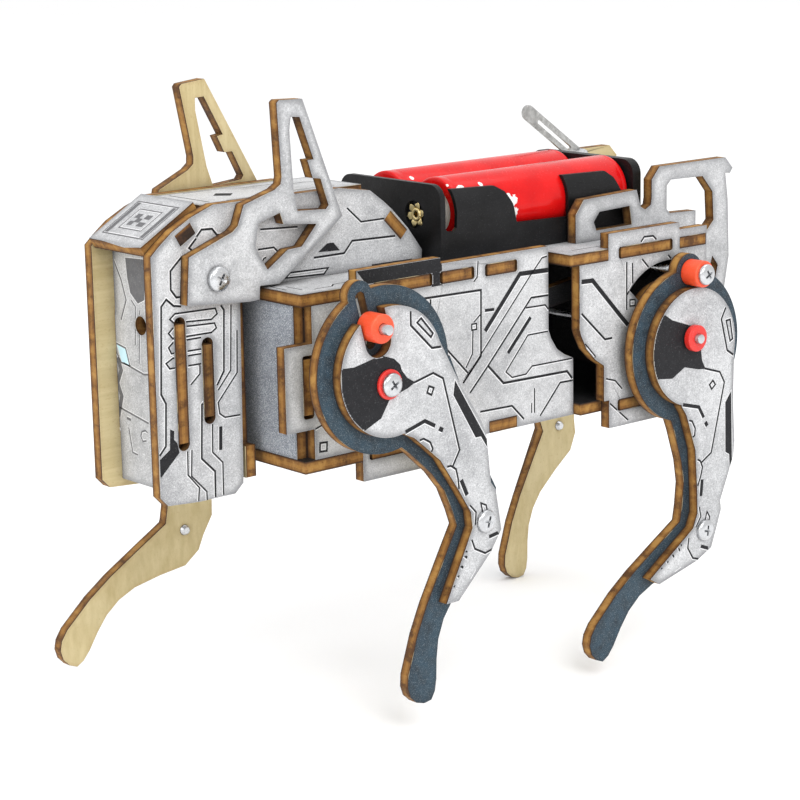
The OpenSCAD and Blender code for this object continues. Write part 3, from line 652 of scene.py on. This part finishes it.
for s, sg in (("left", 1), ("right", -1)):
    solid_of(s + "_front_sleeve_turned", tube(AX1, 33.4, 37.9, 2.8, 1.05, sg), [ORANGE], "orange_sleeve", s + "_front_sleeve")
    solid_of(s + "_rear_sleeve_turned", tube(at_leg(s + "_rear", LOBE_R), 33.1, 37.5, 2.8, 1.1, sg), [ORANGE], "orange_sleeve", s + "_rear_sleeve")
    solid_of(s + "_front_washer_turned", tube(at_leg(s + "_front", PIN), 35.6, 36.3, 2.9, 1.1, sg, 0.2), [RED], "orange_sleeve", s + "_front_washer")
solid_of("rear_axle_caps_turned", merge(tube(AX2, 35.9, 37.4, 2.8, 1.0, 1, 0.25), tube(AX2, 35.9, 37.4, 2.8, 1.0, -1, 0.25)),
         [RED], "orange_sleeve", "rear_axle_caps")


def rod(c, half, r):
    e = 0.22
    return lathe((c[0], -half, c[1]), (0, 1, 0), [(0, 0), (r - e, 0), (r - e * 0.3, e * 0.3), (r, e), (r, 2 * half - e),
                 (r - e * 0.3, 2 * half - e * 0.3), (r - e, 2 * half), (0, 2 * half)], 40)


solid_of("front_axle_rod", rod(AX1, 39.8, 1.0), [ROD], "zinc_steel", "front_axle")
solid_of("rear_axle_rod", rod(AX2, 38.4, 1.0), [ROD], "zinc_steel", "rear_axle")
solid_of("crank_shaft_rod", rod((42.1, 71.4), 16.0, 1.5), [ROD], "zinc_steel", "crank_shaft")

# cells: shrink sleeve folded over the rims, steel ends, insulating ring, cap
CZ = 89.7 + 1.7 + 7.1
RING = plastic("cell_ring", 21.0, (0.68, 0.67, 0.63), (0.78, 0.77, 0.73), (0.4, 0.6))
for s, sg in (("left", 1), ("right", -1)):
    pr = [(0.0, 0.35), (5.55, 0.35), (5.6, 0.30), (5.75, 0.08), (6.0, 0.0), (6.62, 0.0), (6.9, 0.08), (7.05, 0.25), (7.1, 0.5),
          (7.1, 1.0), (7.06, 1.25), (7.06, 1.5), (7.1, 1.75), (7.1, 24.0), (7.1, 46.3), (7.06, 46.6), (7.04, 46.9), (7.1, 47.2), (7.1, 48.45),
          (7.05, 48.72), (6.9, 48.92), (6.62, 49.0), (4.90, 49.0), (4.70, 48.93), (4.60, 48.78), (4.5, 48.70),
          (3.25, 48.70), (3.15, 48.75), (2.8, 48.8), (2.78, 49.65), (2.70, 49.88), (2.5, 50.0), (0.0, 50.0)]
    V, F, P = lathe((-46.5, sg * 7.65, CZ), (1, 0, 0), pr, 96)
    idx = [1 if p < 2 else (0 if p < 25 else (2 if p < 27 else 1)) for p in P]
    o = solid_of(s + "_cell_wrapped", (V, F, P), [WRAP_L if s == "left" else WRAP_R, ZINC, RING], "cell_wrap", s + "_cell", idx=idx, sharp=55)

# brass rivets: rolled barrel with six petals, contact leaf behind
def rivet(x, y, z, out, inner):
    a = (out, 0, 0)
    barrel = lathe((x, y, z), a, [(0.62, -0.15), (0.62, 0.28), (0.80, 0.42), (1.05, 0.46), (1.28, 0.38), (1.38, 0.22), (1.30, 0.08),
                                  (1.18, 0.0), (1.18, -abs(x - inner)), (0.62, -abs(x - inner))], 36, closed=True)
    parts = [barrel]
    for k in range(6):
        t0 = math.radians(k * 60 + 12)
        V, F = [], []
        nu, nv = 7, 5
        for layer in (0, 1):
            for i in range(nu):
                u = i / (nu - 1)
                r = 1.10 + 1.70 * u
                w = 0.36 + 0.40 * math.sin(math.pi * min(1.0, 0.25 + 0.62 * u)) - 0.26 * u ** 4
                lift = 0.14 + 0.34 * math.sin(math.pi * 0.78 * u) - (0.15 if layer else 0.0)
                for j in range(nv):
                    v = (j / (nv - 1) * 2 - 1)
                    rr = r - 0.22 * u * v * v
                    hh = lift - 0.10 * v * v
                    ct, st = math.cos(t0), math.sin(t0)
                    q = Vector((0, rr * ct - v * w * st, rr * st + v * w * ct))
                    V.append(Vector((x + out * max(hh, -0.02), y + q.y, z + q.z)))
        n = nu * nv
        for i in range(nu - 1):
            for j in range(nv - 1):
                q = i * nv + j
                F.append([q, q + 1, q + nv + 1, q + nv])
                F.append([n + q, n + q + nv, n + q + nv + 1, n + q + 1])
        rim = [j for j in range(nv)] + [i * nv + nv - 1 for i in range(1, nu)] + [(nu - 1) * nv + j for j in range(nv - 2, -1, -1)] + [i * nv for i in range(nu - 2, 0, -1)]
        for a1, b1 in zip(rim, rim[1:] + rim[:1]):
            F.append([a1, b1, b1 + n, a1 + n])
        parts.append((V, F, [0] * len(F)))
    return merge(*parts)


parts = []
for sg in (1, -1):
    y = sg * 7.65
    parts += [rivet(7.25, y, CZ, 1, 4.8), rivet(-49.5, y, CZ, -1, -46.6)]
    parts += [box_mesh((4.4, y - 4, CZ - 4), (4.8, y + 4, CZ + 4)), box_mesh((-47.0, y - 4, CZ - 4), (-46.6, y + 4, CZ + 4))]
o = solid_of("brass_rivets", merge(*parts), [BRASS], "brass", "cell_contacts", sharp=50)


# ---- printed line work ---------------------------------------------

def ink_mat(name, col, seed, fleck=(0.30, 0.30, 0.31), amount=0.35):
    m = Mat(name)
    p = m.stretch((1, 1, 1), seed)
    f = m.noise(p, 3.2, 2.0, 0.7)
    g = m.noise(p, 0.6, 3.0, 0.6)
    c = m.mix(m.map(f, 0.58, 0.70, 0.0, amount), col, fleck)
    c = m.mix(m.map(g, 0.45, 0.7, 0.0, 0.25), c, tuple(min(1, x * 1.8 + 0.01) for x in col))
    m.put(m.b.inputs["Base Color"], c)
    m.put(m.b.inputs["Roughness"], m.map(f, 0.3, 0.7, 0.5, 0.72))
    m.bump(f, 0.04, 0.4)
    m.b.inputs["Specular IOR Level"].default_value = 0.2
    return m.m


INK = ink_mat("ink_black", (0.012, 0.012, 0.014), 31.0, (0.20, 0.20, 0.21), 0.22)
PALE = ink_mat("ink_pale", (0.74, 0.74, 0.75), 32.0, (0.5, 0.5, 0.51), 0.3)
FAINT = ink_mat("ink_grey", (0.13, 0.13, 0.136), 34.0, (0.42, 0.42, 0.43), 0.4)
CYAN = ink_mat("ink_pale_blue", (0.55, 0.80, 0.90), 33.0, (0.8, 0.9, 0.95), 0.3)

# line work of each sheet, mm: kind, width, points (x, z) or (y, z)
ART = {
"head": [
  ("s", 0.4, [(68.6,88.3),(70.3,88.6),(71.9,90.0),(73.1,88.8),(73.9,72.3),(72.9,70.4),(73.3,62.3),(74.8,60.7)]),
  ("f", 0, [(72.1,65.2),(71.4,64.8),(71.5,63.2),(70.8,62.4),(70.4,60.6),(74.9,56.4),(74.9,59.7),(72.3,61.4)]),
  ("s", 0.32, [(60.8,86.9),(60.4,85.8),(61.8,84.9),(70.4,85.4),(71.3,86.2),(70.1,87.1),(60.8,86.9)]),
  ("s", 0.32, [(61.1,84.1),(60.7,83.1),(61.9,82.4),(70.8,82.5),(71.7,83.6),(70.6,84.5),(61.1,84.1)]),
  ("s", 0.32, [(64.3,81.8),(70.7,81.8),(71.8,80.9),(71.2,79.7),(64.4,79.6)]),
  ("s", 0.32, [(64.4,78.7),(70.9,78.8),(72.5,78.0),(71.7,76.9),(64.5,76.8)]),
  ("s", 0.4, [(59.5,87.3),(58.8,86.3),(59.3,74.6),(61.0,72.1)]),
  ("s", 0.3, [(57.1,87.1),(57.7,74.5),(60.8,71.1)]),
  ("s", 0.3, [(55.9,82.0),(56.2,73.8),(60.9,68.7),(60.6,66.5),(59.4,65.6),(55.8,65.5)]),
  ("s", 0.3, [(64.8,76.6),(64.9,74.9),(67.1,73.1)]),
  ("s", 0.4, [(64.2,69.3),(64.7,68.9),(65.2,58.5),(62.2,55.5),(62.3,50.1)]),
  ("s", 0.3, [(62.4,65.1),(62.6,59.3),(60.3,56.9),(60.4,50.5)]),
  ("s", 0.3, [(68.4,60.5),(68.5,55.9),(66.0,53.0),(66.3,50.4)]),
  ("s", 0.3, [(67.4,60.6),(67.7,55.5),(64.3,51.9),(64.3,50.2)]),
  ("s", 0.75, [(60.5,64.0),(60.7,59.4)]),
  ("s", 0.4, [(68.1,97.5),(70.7,95.2),(70.8,91.7),(69.6,90.1),(68.8,90.1)]),
  ("s", 0.4, [(57.0,100.6),(59.8,100.7),(60.9,102.0),(63.3,102.1),(64.5,100.9)]),
  ("s", 0.4, [(64.6,100.6),(66.3,99.0),(65.2,98.1)]),
  ("s", 0.35, [(49.6,100.6),(40.6,100.1)]),
  ("s", 0.35, [(50.3,96.8),(46.5,96.8),(45.6,95.9)]),
  ("s", 0.3, [(48.4,95.1),(49.0,94.9),(49.4,94.2),(48.4,93.0)]),
  ("f", 0, [(35.5,94.6),(33.4,95.9),(31.9,95.9),(30.5,94.4)]),
  ("s", 0.4, [(36.8,93.6),(29.2,93.6),(27.1,95.8),(16.0,95.5)]),
  ("s", 0.35, [(28.2,102.4),(24.7,99.3),(17.8,99.3)]),
  ("s", 0.35, [(42.7,91.4),(33.3,91.2),(34.4,90.1),(43.8,90.5),(42.7,91.4)]),
  ("s", 0.6, [(22.2,90.2),(11.7,90.1)]),
],
"panel": [
  ("s", 0.45, [(22.0,85.0),(4.9,84.7),(5.1,71.3),(10.0,66.5)]),
  ("s", 0.32, [(22.1,83.5),(18.4,83.5)]),
  ("s", 0.4, [(18.3,84.6),(18.3,81.5)]),
  ("s", 0.28, [(5.2,79.7),(7.0,78.4)]),
  ("s", 0.3, [(7.2,76.8),(7.4,72.1),(9.2,69.5)]),
  ("s", 0.32, [(7.5,78.1),(6.2,78.1),(6.2,76.9),(7.5,76.9),(7.5,78.1)]),
  ("s", 0.4, [(15.7,75.5),(8.7,68.4)]),
  ("s", 0.6, [(3.9,80.4),(1.4,80.3)]),
  ("s", 0.95, [(3.9,76.2),(-5.8,86.6),(-14.3,86.4)]),
  ("s", 0.3, [(-13.4,89.3),(-12.0,89.1),(-8.6,85.8),(3.7,73.1),(9.9,66.6)]),
  ("s", 0.4, [(-13.7,81.2),(-8.9,81.3),(3.2,69.0),(8.2,64.2)]),
  ("s", 0.32, [(-7.4,79.4),(-12.8,79.3),(-13.9,78.1)]),
  ("s", 0.8, [(-8.7,77.3),(-2.3,70.8)]),
  ("s", 0.3, [(-14.2,73.7),(-7.9,73.7),(-1.7,67.0),(-3.4,65.6),(-7.3,65.7),(-9.0,67.1),(-20.5,67.0)]),
  ("s", 0.5, [(3.2,69.0),(-1.0,64.8),(-19.0,64.5),(-20.9,62.3)]),
  ("s", 0.4, [(-21.6,62.3),(-17.0,62.4),(-11.2,56.3)]),
  ("s", 0.32, [(-9.6,62.4),(-9.6,57.2)]),
  ("s", 0.28, [(-8.8,59.4),(-8.7,57.3)]),
  ("s", 0.4, [(5.5,59.9),(-3.3,59.7),(-6.6,56.4)]),
  ("f", 0, [(36.6,92.3),(15.3,92.3),(15.3,87.1),(17.8,87.1),(18.0,89.0),(19.0,89.8),(34.5,89.8)]),
  ("s", 0.3, [(5.6,90.6),(5.9,87.4),(6.8,86.6)]),
  ("s", 0.4, [(44.5,57.5),(32.7,57.2)]),
  ("s", 0.4, [(46.8,60.6),(45.1,60.5),(45.2,58.8),(46.9,58.9),(46.8,60.6)]),
  ("s", 0.3, [(48.2,63.4),(46.2,64.0)]),
],
"hip": [
  ("s", 0.95, [(-18.8,83.8),(-22.0,83.7),(-30.0,75.4),(-32.4,73.0)]),
  ("s", 0.45, [(-18.8,77.2),(-25.6,70.9),(-27.7,70.9)]),
  ("s", 0.3, [(-19.8,70.8),(-22.7,67.8),(-22.9,66.5)]),
  ("s", 0.32, [(-25.9,62.5),(-28.6,61.7),(-30.7,59.6)]),
  ("s", 0.4, [(-32.0,86.3),(-32.0,76.2)]),
  ("s", 0.4, [(-33.7,85.9),(-33.8,81.3),(-32.1,79.4)]),
  ("s", 0.32, [(-33.0,78.2),(-34.5,78.1),(-34.5,76.8),(-33.0,76.9),(-33.0,78.2)]),
  ("s", 0.4, [(-36.0,89.8),(-37.2,91.0),(-39.9,90.9),(-41.4,89.6)]),
  ("s", 0.4, [(-36.6,86.4),(-40.5,82.5)]),
  ("s", 0.4, [(-44.5,86.3),(-46.3,84.6)]),
  ("s", 0.35, [(-25.9,58.0),(-32.5,52.6)]),
],
"leg": [
  ("f", 0, [(52.0,77.2),(47.5,77.0),(41.0,78.3),(37.8,77.2),(36.4,75.9),(36.0,74.7),(34.7,73.1),(32.9,72.0),(34.7,71.2),(39.0,70.0),(41.3,66.5),(46.5,64.3),(51.5,66.5),(53.0,72.8)]),
  ("s", 0.45, [(33.5,85.8),(33.5,83.1),(28.3,78.0),(25.7,77.9)]),
  ("s", 0.4, [(30.9,84.1),(31.9,83.4),(28.5,80.1),(28.0,80.8),(30.9,84.1)]),
  ("s", 0.42, [(32.9,72.0),(28.1,73.1),(25.6,71.7),(21.6,56.9),(23.4,54.0)]),
  ("s", 0.4, [(29.2,70.7),(28.0,70.2),(28.6,68.9),(29.7,69.5),(29.2,70.7)]),
  ("f", 0, [(22.5,70.6),(22.9,68.0),(17.3,58.7),(15.9,58.7),(14.4,56.4),(14.2,57.2)]),
  ("s", 0.75, [(35.9,62.6),(30.4,64.1),(27.8,62.7)]),
  ("s", 0.9, [(26.8,62.0),(25.8,61.5)]),
  ("s", 0.4, [(32.4,60.4),(30.8,60.7),(29.1,59.7),(28.5,58.3),(29.2,57.2)]),
  ("s", 0.4, [(24.9,54.1),(23.9,54.1),(22.6,53.2),(22.1,51.2),(21.9,49.1)]),
  ("s", 0.9, [(21.3,50.8),(19.8,47.5)]),
  ("s", 0.35, [(16.2,45.2),(14.8,44.5),(14.3,42.4),(15.7,43.1),(16.2,45.2)]),
  ("f", 0, [(11.8,47.6),(10.8,46.0),(10.3,43.0),(11.3,44.9)]),
  ("s", 0.75, [(14.1,37.9),(10.1,38.5),(10.3,40.2)]),
  ("s", 0.4, [(18.7,38.2),(17.9,36.2),(15.2,34.8),(13.4,35.2),(12.3,34.6)]),
  ("s", 0.5, [(20.0,36.2),(20.8,35.5),(20.0,34.8)]),
  ("s", 0.5, [(21.1,34.4),(21.9,33.7),(21.1,33.0)]),
  ("s", 0.5, [(22.2,32.8),(23.0,32.1),(22.2,31.4)]),
  ("s", 0.5, [(23.3,31.0),(24.1,30.3),(23.3,29.6)]),
  ("s", 0.7, [(17.4,31.6),(18.8,30.0)]),
  ("s", 0.35, [(19.1,45.3),(17.5,43.6),(17.8,41.0)]),
],
"face": [
  ("f", 0, [(-4.1,95.9),(2.1,96.2),(1.5,88.6),(-0.6,87.7),(-2.9,89.4),(-3.7,92.2)]),
  ("s", 0.35, [(-8.1,95.1),(-5.9,91.5),(-4.5,87.8),(-6.5,83.7)]),
  ("s", 0.28, [(0.0,86.4),(-1.0,75.9)]),
  ("s", 0.28, [(-2.8,88.0),(-1.4,86.8),(-2.0,79.4)]),
  ("c", 0, [(-8.1,78.5),(-5.6,78.0),(-4.6,75.1),(-6.8,75.5)]),
  ("s", 0.32, [(-9.0,78.9),(-5.4,78.3),(-4.2,75.0),(-7.1,75.3),(-9.1,77.7)]),
  ("s", 0.35, [(-6.3,75.3),(0.4,74.0),(1.8,74.2)]),
  ("s", 1.1, [(-8.3,76.1),(-7.2,73.8),(-8.7,71.1),(-7.4,68.6),(-8.8,64.4)]),
  ("s", 0.35, [(-8.3,66.2),(1.3,64.6)]),
  ("s", 0.3, [(-5.5,62.7),(-4.5,57.9),(-2.8,57.7)]),
  ("s", 0.3, [(0.8,62.7),(0.1,63.0),(-1.1,62.6),(-1.5,61.6),(-0.9,60.7),(0.3,61.0)]),
  ("s", 0.5, [(-6.0,64.5),(-4.6,64.3)]),
],
"crown": [
  ("s", 0.35, [(58.0,-6.5),(58.0,6.5)]),
  ("s", 0.3, [(54.5,7.0),(40.0,7.0),(38.0,5.5),(27.0,5.5)]),
  ("s", 0.3, [(54.5,-7.0),(44.0,-7.0),(42.0,-5.0),(30.0,-5.0)]),
  ("s", 0.45, [(36.0,-2.5),(28.0,-2.5),(26.5,-1.0),(26.5,1.5)]),
  ("f", 0, [(50.0,-2.2),(52.2,0.0),(50.0,2.2),(47.8,0.0)]),
],
"brow": [
  ("s", 0.3, [(2.2,-6.6),(12.0,-6.6),(12.0,6.6),(2.2,6.6),(2.2,-6.6)]),
  ("f", 0, [(2.6,-6.2),(11.6,-6.2),(11.6,-5.3),(2.6,-5.3)]),
  ("f", 0, [(2.6,5.3),(11.6,5.3),(11.6,6.2),(2.6,6.2)]),
  ("s", 0.25, [(4.2,-3.6),(10.0,-3.6),(10.0,3.6),(4.2,3.6),(4.2,-3.6)]),
  ("f", 0, [(5.4,-2.4),(6.4,-2.4),(6.4,-1.2),(5.4,-1.2)]),
  ("f", 0, [(6.4,-1.2),(7.4,-1.2),(7.4,0.2),(6.4,0.2)]),
  ("f", 0, [(7.6,-2.4),(8.6,-2.4),(8.6,-1.0),(7.6,-1.0)]),
  ("f", 0, [(5.4,0.6),(6.4,0.6),(6.4,2.4),(5.4,2.4)]),
  ("f", 0, [(7.6,0.6),(8.6,0.6),(8.6,2.2),(7.6,2.2)]),
],
"rear": [
  ("s", 0.4, [(-17.0,84.0),(-17.0,72.0),(-12.0,67.0),(-12.0,61.0)]),
  ("s", 0.4, [(17.0,84.0),(17.0,76.0),(11.0,70.0),(11.0,61.0)]),
  ("s", 0.8, [(-8.0,82.0),(0.0,74.0),(9.0,74.0)]),
  ("s", 0.3, [(-6.0,79.0),(0.5,72.5),(8.5,72.5)]),
  ("s", 0.35, [(-8.0,64.0),(-3.0,64.0),(0.0,67.0),(6.0,67.0)]),
  ("f", 0, [(3.0,79.5),(5.0,81.5),(7.0,79.5),(5.0,77.5)]),
],
"belly": [
  ("s", 0.4, [(40.0,14.0),(28.0,14.0),(24.0,10.0),(6.0,10.0)]),
  ("s", 0.4, [(40.0,-14.0),(30.0,-14.0),(26.0,-10.0),(10.0,-10.0)]),
  ("s", 0.8, [(2.0,6.0),(-8.0,6.0),(-14.0,0.0),(-30.0,0.0)]),
  ("s", 0.3, [(2.0,3.5),(-7.0,3.5),(-12.5,-2.0),(-30.0,-2.0)]),
  ("s", 0.4, [(-20.0,14.0),(-34.0,14.0),(-38.0,10.0),(-38.0,-8.0)]),
  ("f", 0, [(14.0,0.0),(16.5,2.5),(19.0,0.0),(16.5,-2.5)]),
],
"deck": [
  ("s", 0.35, [(49.2,18.0),(49.2,13.0),(46.5,11.8)]),
  ("s", 0.35, [(45.0,21.0),(40.5,21.0),(39.0,19.5),(30.0,19.5),(28.5,21.0),(14.0,21.0)]),
  ("s", 0.3, [(47.0,20.0),(47.0,15.0)]),
  ("s", 0.35, [(45.0,-21.0),(40.5,-21.0),(39.0,-19.5),(30.0,-19.5),(28.5,-21.0),(14.0,-21.0)]),
  ("s", 0.6, [(26.0,17.5),(20.0,17.5)]),
  ("s", 0.6, [(26.0,-17.5),(20.0,-17.5)]),
  ("s", 0.35, [(-20.0,24.5),(-30.0,24.5),(-31.5,23.0),(-40.0,23.0)]),
  ("s", 0.35, [(-20.0,-24.5),(-30.0,-24.5),(-31.5,-23.0),(-40.0,-23.0)]),
  ("s", 0.35, [(-5.0,20.0),(-14.0,20.0),(-16.0,22.0)]),
  ("s", 0.35, [(-5.0,-20.0),(-14.0,-20.0),(-16.0,-22.0)]),
],
}


def inside(p, poly):
    c = False
    for (x0, y0), (x1, y1) in zip(poly, poly[1:] + poly[:1]):
        if (y0 > p[1]) != (y1 > p[1]) and p[0] < (x1 - x0) * (p[1] - y0) / (y1 - y0) + x0:
            c = not c
    return c


def ink(name, node, art, place, normal, dark=True):
    """Draws art (plane coordinates) on the face of a CAD node. place(x, y, h)
    gives the point h mm over the face. Ink over an opening is left out."""
    me = NODES[node].data
    bvh = BVHTree.FromPolygons([v.co for v in me.vertices], [tuple(p.vertices) for p in me.polygons])
    nrm = Vector(normal)

    def on_face(q):
        hit = bvh.ray_cast(place(q[0], q[1], 1.0) * MM, -nrm, 1.5 * MM)
        return hit[0] is not None and abs(hit[3] / MM - 1.0) < 0.2

    V, F, idx = [], [], []

    def quad(pts, h, mi):
        mid = (sum(p[0] for p in pts) / 4, sum(p[1] for p in pts) / 4)
        for p in [mid] + list(pts):
            if not on_face(p):
                return
        o = len(V)
        V.extend(place(p[0], p[1], h) for p in pts)
        F.append([o, o + 1, o + 2, o + 3]); idx.append(mi)

    def stroke(pts, w, h, mi, shift=0.0):
        P = [Vector(p) for p in pts]
        loop = (P[0] - P[-1]).length < 1e-4
        n = len(P)
        L, R = [], []
        for i in range(n):
            a = P[i - 1] if i > 0 else (P[-2] if loop else None)
            b = P[i + 1] if i < n - 1 else (P[1] if loop else None)
            d1 = (P[i] - a).normalized() if a is not None else None
            d2 = (b - P[i]).normalized() if b is not None else None
            d1 = d1 or d2; d2 = d2 or d1
            n1 = Vector((-d1.y, d1.x)); n2 = Vector((-d2.y, d2.x))
            m = (n1 + n2)
            m = m.normalized() if m.length > 1e-6 else n1
            k = 1.0 / max(0.45, m.dot(n1))
            L.append(P[i] + m * k * (w / 2 + shift)); R.append(P[i] - m * k * (w / 2 - shift))
        for i in range(n - 1):
            steps = max(1, int((P[i + 1] - P[i]).length / 0.3))
            for s in range(steps):
                t0, t1 = s / steps, (s + 1) / steps
                quad([L[i].lerp(L[i + 1], t0), L[i].lerp(L[i + 1], t1), R[i].lerp(R[i + 1], t1), R[i].lerp(R[i + 1], t0)], h, mi)

    for kind, w, pts in art:
        pts = [tuple(p) for p in pts]
        if kind == "s":
            stroke(pts, w, 0.020, 0)
            stroke(pts, 0.17, 0.012, 1, w / 2 + 0.13)
        elif kind == "w":
            stroke(pts, w, 0.026, 1)
        else:
            mi = 2 if kind == "c" else 0
            xs = [p[0] for p in pts]; ys = [p[1] for p in pts]
            st = 0.22
            for a in range(int((max(xs) - min(xs)) / st) + 1):
                for b in range(int((max(ys) - min(ys)) / st) + 1):
                    x, y = min(xs) + a * st, min(ys) + b * st
                    if inside((x + st / 2, y + st / 2), pts):
                        quad([(x, y), (x + st, y), (x + st, y + st), (x, y + st)], 0.016, mi)
            stroke(pts + [pts[0]], 0.24, 0.018, mi)
            stroke(pts + [pts[0]], 0.16, 0.010, 1, 0.20)
    if not F:
        return None
    me2 = bpy.data.meshes.new(name)
    me2.from_pydata([tuple(Vector(v) * MM) for v in V], [], F)
    me2.update()
    bm = bmesh.new(); bm.from_mesh(me2)
    bmesh.ops.remove_doubles(bm, verts=bm.verts, dist=2e-7)
    bm.to_mesh(me2); bm.free()
    for m in (INK if dark else FAINT, PALE, CYAN):
        me2.materials.append(m)
    if len(idx) == len(me2.polygons):
        me2.polygons.foreach_set("material_index", idx)
    me2.update()
    if me2.polygons and me2.polygons[0].normal.dot(nrm) < 0:
        me2.flip_normals()
    o = bpy.data.objects.new(name, me2)
    COL.objects.link(o)
    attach(o, BODY[node])
    return o


for s, sg in (("left", 1), ("right", -1)):
    def on_y(y, sg=sg):
        return lambda x, z, h: Vector((x, sg * (y + h), z))
    ink("ink_" + s + "_head", s + "_head_plate", ART["head"], on_y(11.0), (0, sg, 0))
    ink("ink_" + s + "_panel", s + "_side_panel", ART["panel"], on_y(24.0), (0, sg, 0))
    ink("ink_" + s + "_hip", s + "_hip_plate", ART["hip"], on_y(28.5), (0, sg, 0))
    c0, a0, _ = LEG["left_front"]
    local = [(k, w, [untorn((p[0] - c0[0], p[1] - c0[1]), a0) for p in pts]) for k, w, pts in ART["leg"]]
    for end in ("front", "rear"):
        leg = s + "_" + end
        c, a, _ = LEG[leg]
        placed = [(k, w, [at_leg(leg, p) for p in pts]) for k, w, pts in local]
        ink("ink_" + leg + "_leg", leg + "_leg_cover", placed, on_y(35.6), (0, sg, 0))

# face plate looks along +X; plane coordinates are (y, z)
ink("ink_face", "face_plate", ART["face"], lambda y, z, h: Vector((70.35 + h, y, z)), (1, 0, 0), False)
# top of the head and the sloping brow: plane coordinates (distance back, y)
ink("ink_head_top", "head_top_plate", ART["crown"], lambda x, y, h: Vector((x, y, 106.3 + h)), (0, 0, 1))
ink("ink_brow", "brow_plate", ART["brow"], lambda s_, y, h: Vector((75.5, 0, 99.9)) + _e * s_ + Vector((0, y, 0)) + _nb * h, tuple(_nb), False)
ink("ink_rear", "rear_plate", ART["rear"], lambda y, z, h: Vector((-54.5 - h, y, z)), (-1, 0, 0))
ink("ink_belly", "bottom_plate", ART["belly"], lambda x, y, h: Vector((x, y, 55.0 - h)), (0, 0, -1))
ink("ink_deck", "top_plate", ART["deck"], lambda x, y, h: Vector((x, y, 89.7 + h)), (0, 0, 1))


# ---- camera, light, floor ------------------------------------------

cam_d = bpy.data.cameras.new("camera")
cam = bpy.data.objects.new("camera", cam_d)
COL.objects.link(cam)
right = Vector((-0.759854, 0.649805, -0.019379))
down = Vector((0.154373, 0.151401, -0.976344))
ahead = Vector((-0.631499, -0.74487, -0.215355))
rot = Matrix((right, -down, -ahead)).transposed()
cam.matrix_world = Matrix.Translation((0.321865, 0.370264, 0.168480)) @ rot.to_4x4()
cam_d.sensor_width = 36.0
cam_d.lens = 107.616
cam_d.shift_x = 0.0085
cam_d.shift_y = -0.0148
cam_d.clip_start, cam_d.clip_end = 0.01, 60.0
bpy.context.scene.camera = cam

world = bpy.data.worlds.new("studio")
world.use_nodes = True
world.node_tree.nodes["Background"].inputs[0].default_value = (1.0, 1.0, 1.0, 1.0)
world.node_tree.nodes["Background"].inputs[1].default_value = 1.0
bpy.context.scene.world = world
bpy.context.scene.view_settings.view_transform = "Standard"


def area(name, loc, aim, size, power):
    d = bpy.data.lights.new(name, "AREA")
    d.shape = "DISK"
    d.size = size
    d.energy = power
    o = bpy.data.objects.new(name, d)
    o.location = loc
    o.rotation_mode = "QUATERNION"
    o.rotation_quaternion = (Vector(aim) - Vector(loc)).to_track_quat("-Z", "Y")
    COL.objects.link(o)
    return o


area("key", (0.25, 0.75, 0.75), (0, 0, 0.07), 0.55, 4.2)
area("front", (0.85, 0.15, 0.45), (0, 0, 0.07), 0.5, 1.4)
area("top", (-0.35, 0.0, 1.0), (0, 0, 0.06), 0.7, 1.6)

floor_mat = Mat("floor_paper")
fp = floor_mat.noise(floor_mat.stretch((1, 1, 1), 3.0), 0.02, 2.0, 0.5)
floor_mat.put(floor_mat.b.inputs["Base Color"], floor_mat.mix(fp, (0.985, 0.985, 0.985), (1.0, 1.0, 1.0)))
floor_mat.b.inputs["Roughness"].default_value = 0.9
floor_mat.b.inputs["Specular IOR Level"].default_value = 0.1
bpy.ops.mesh.primitive_plane_add(size=24.0, location=(0, 0, -0.00002))
floor = bpy.context.object
floor.name = "floor"
give(floor, floor_mat.m)
floor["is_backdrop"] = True

lo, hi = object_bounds()
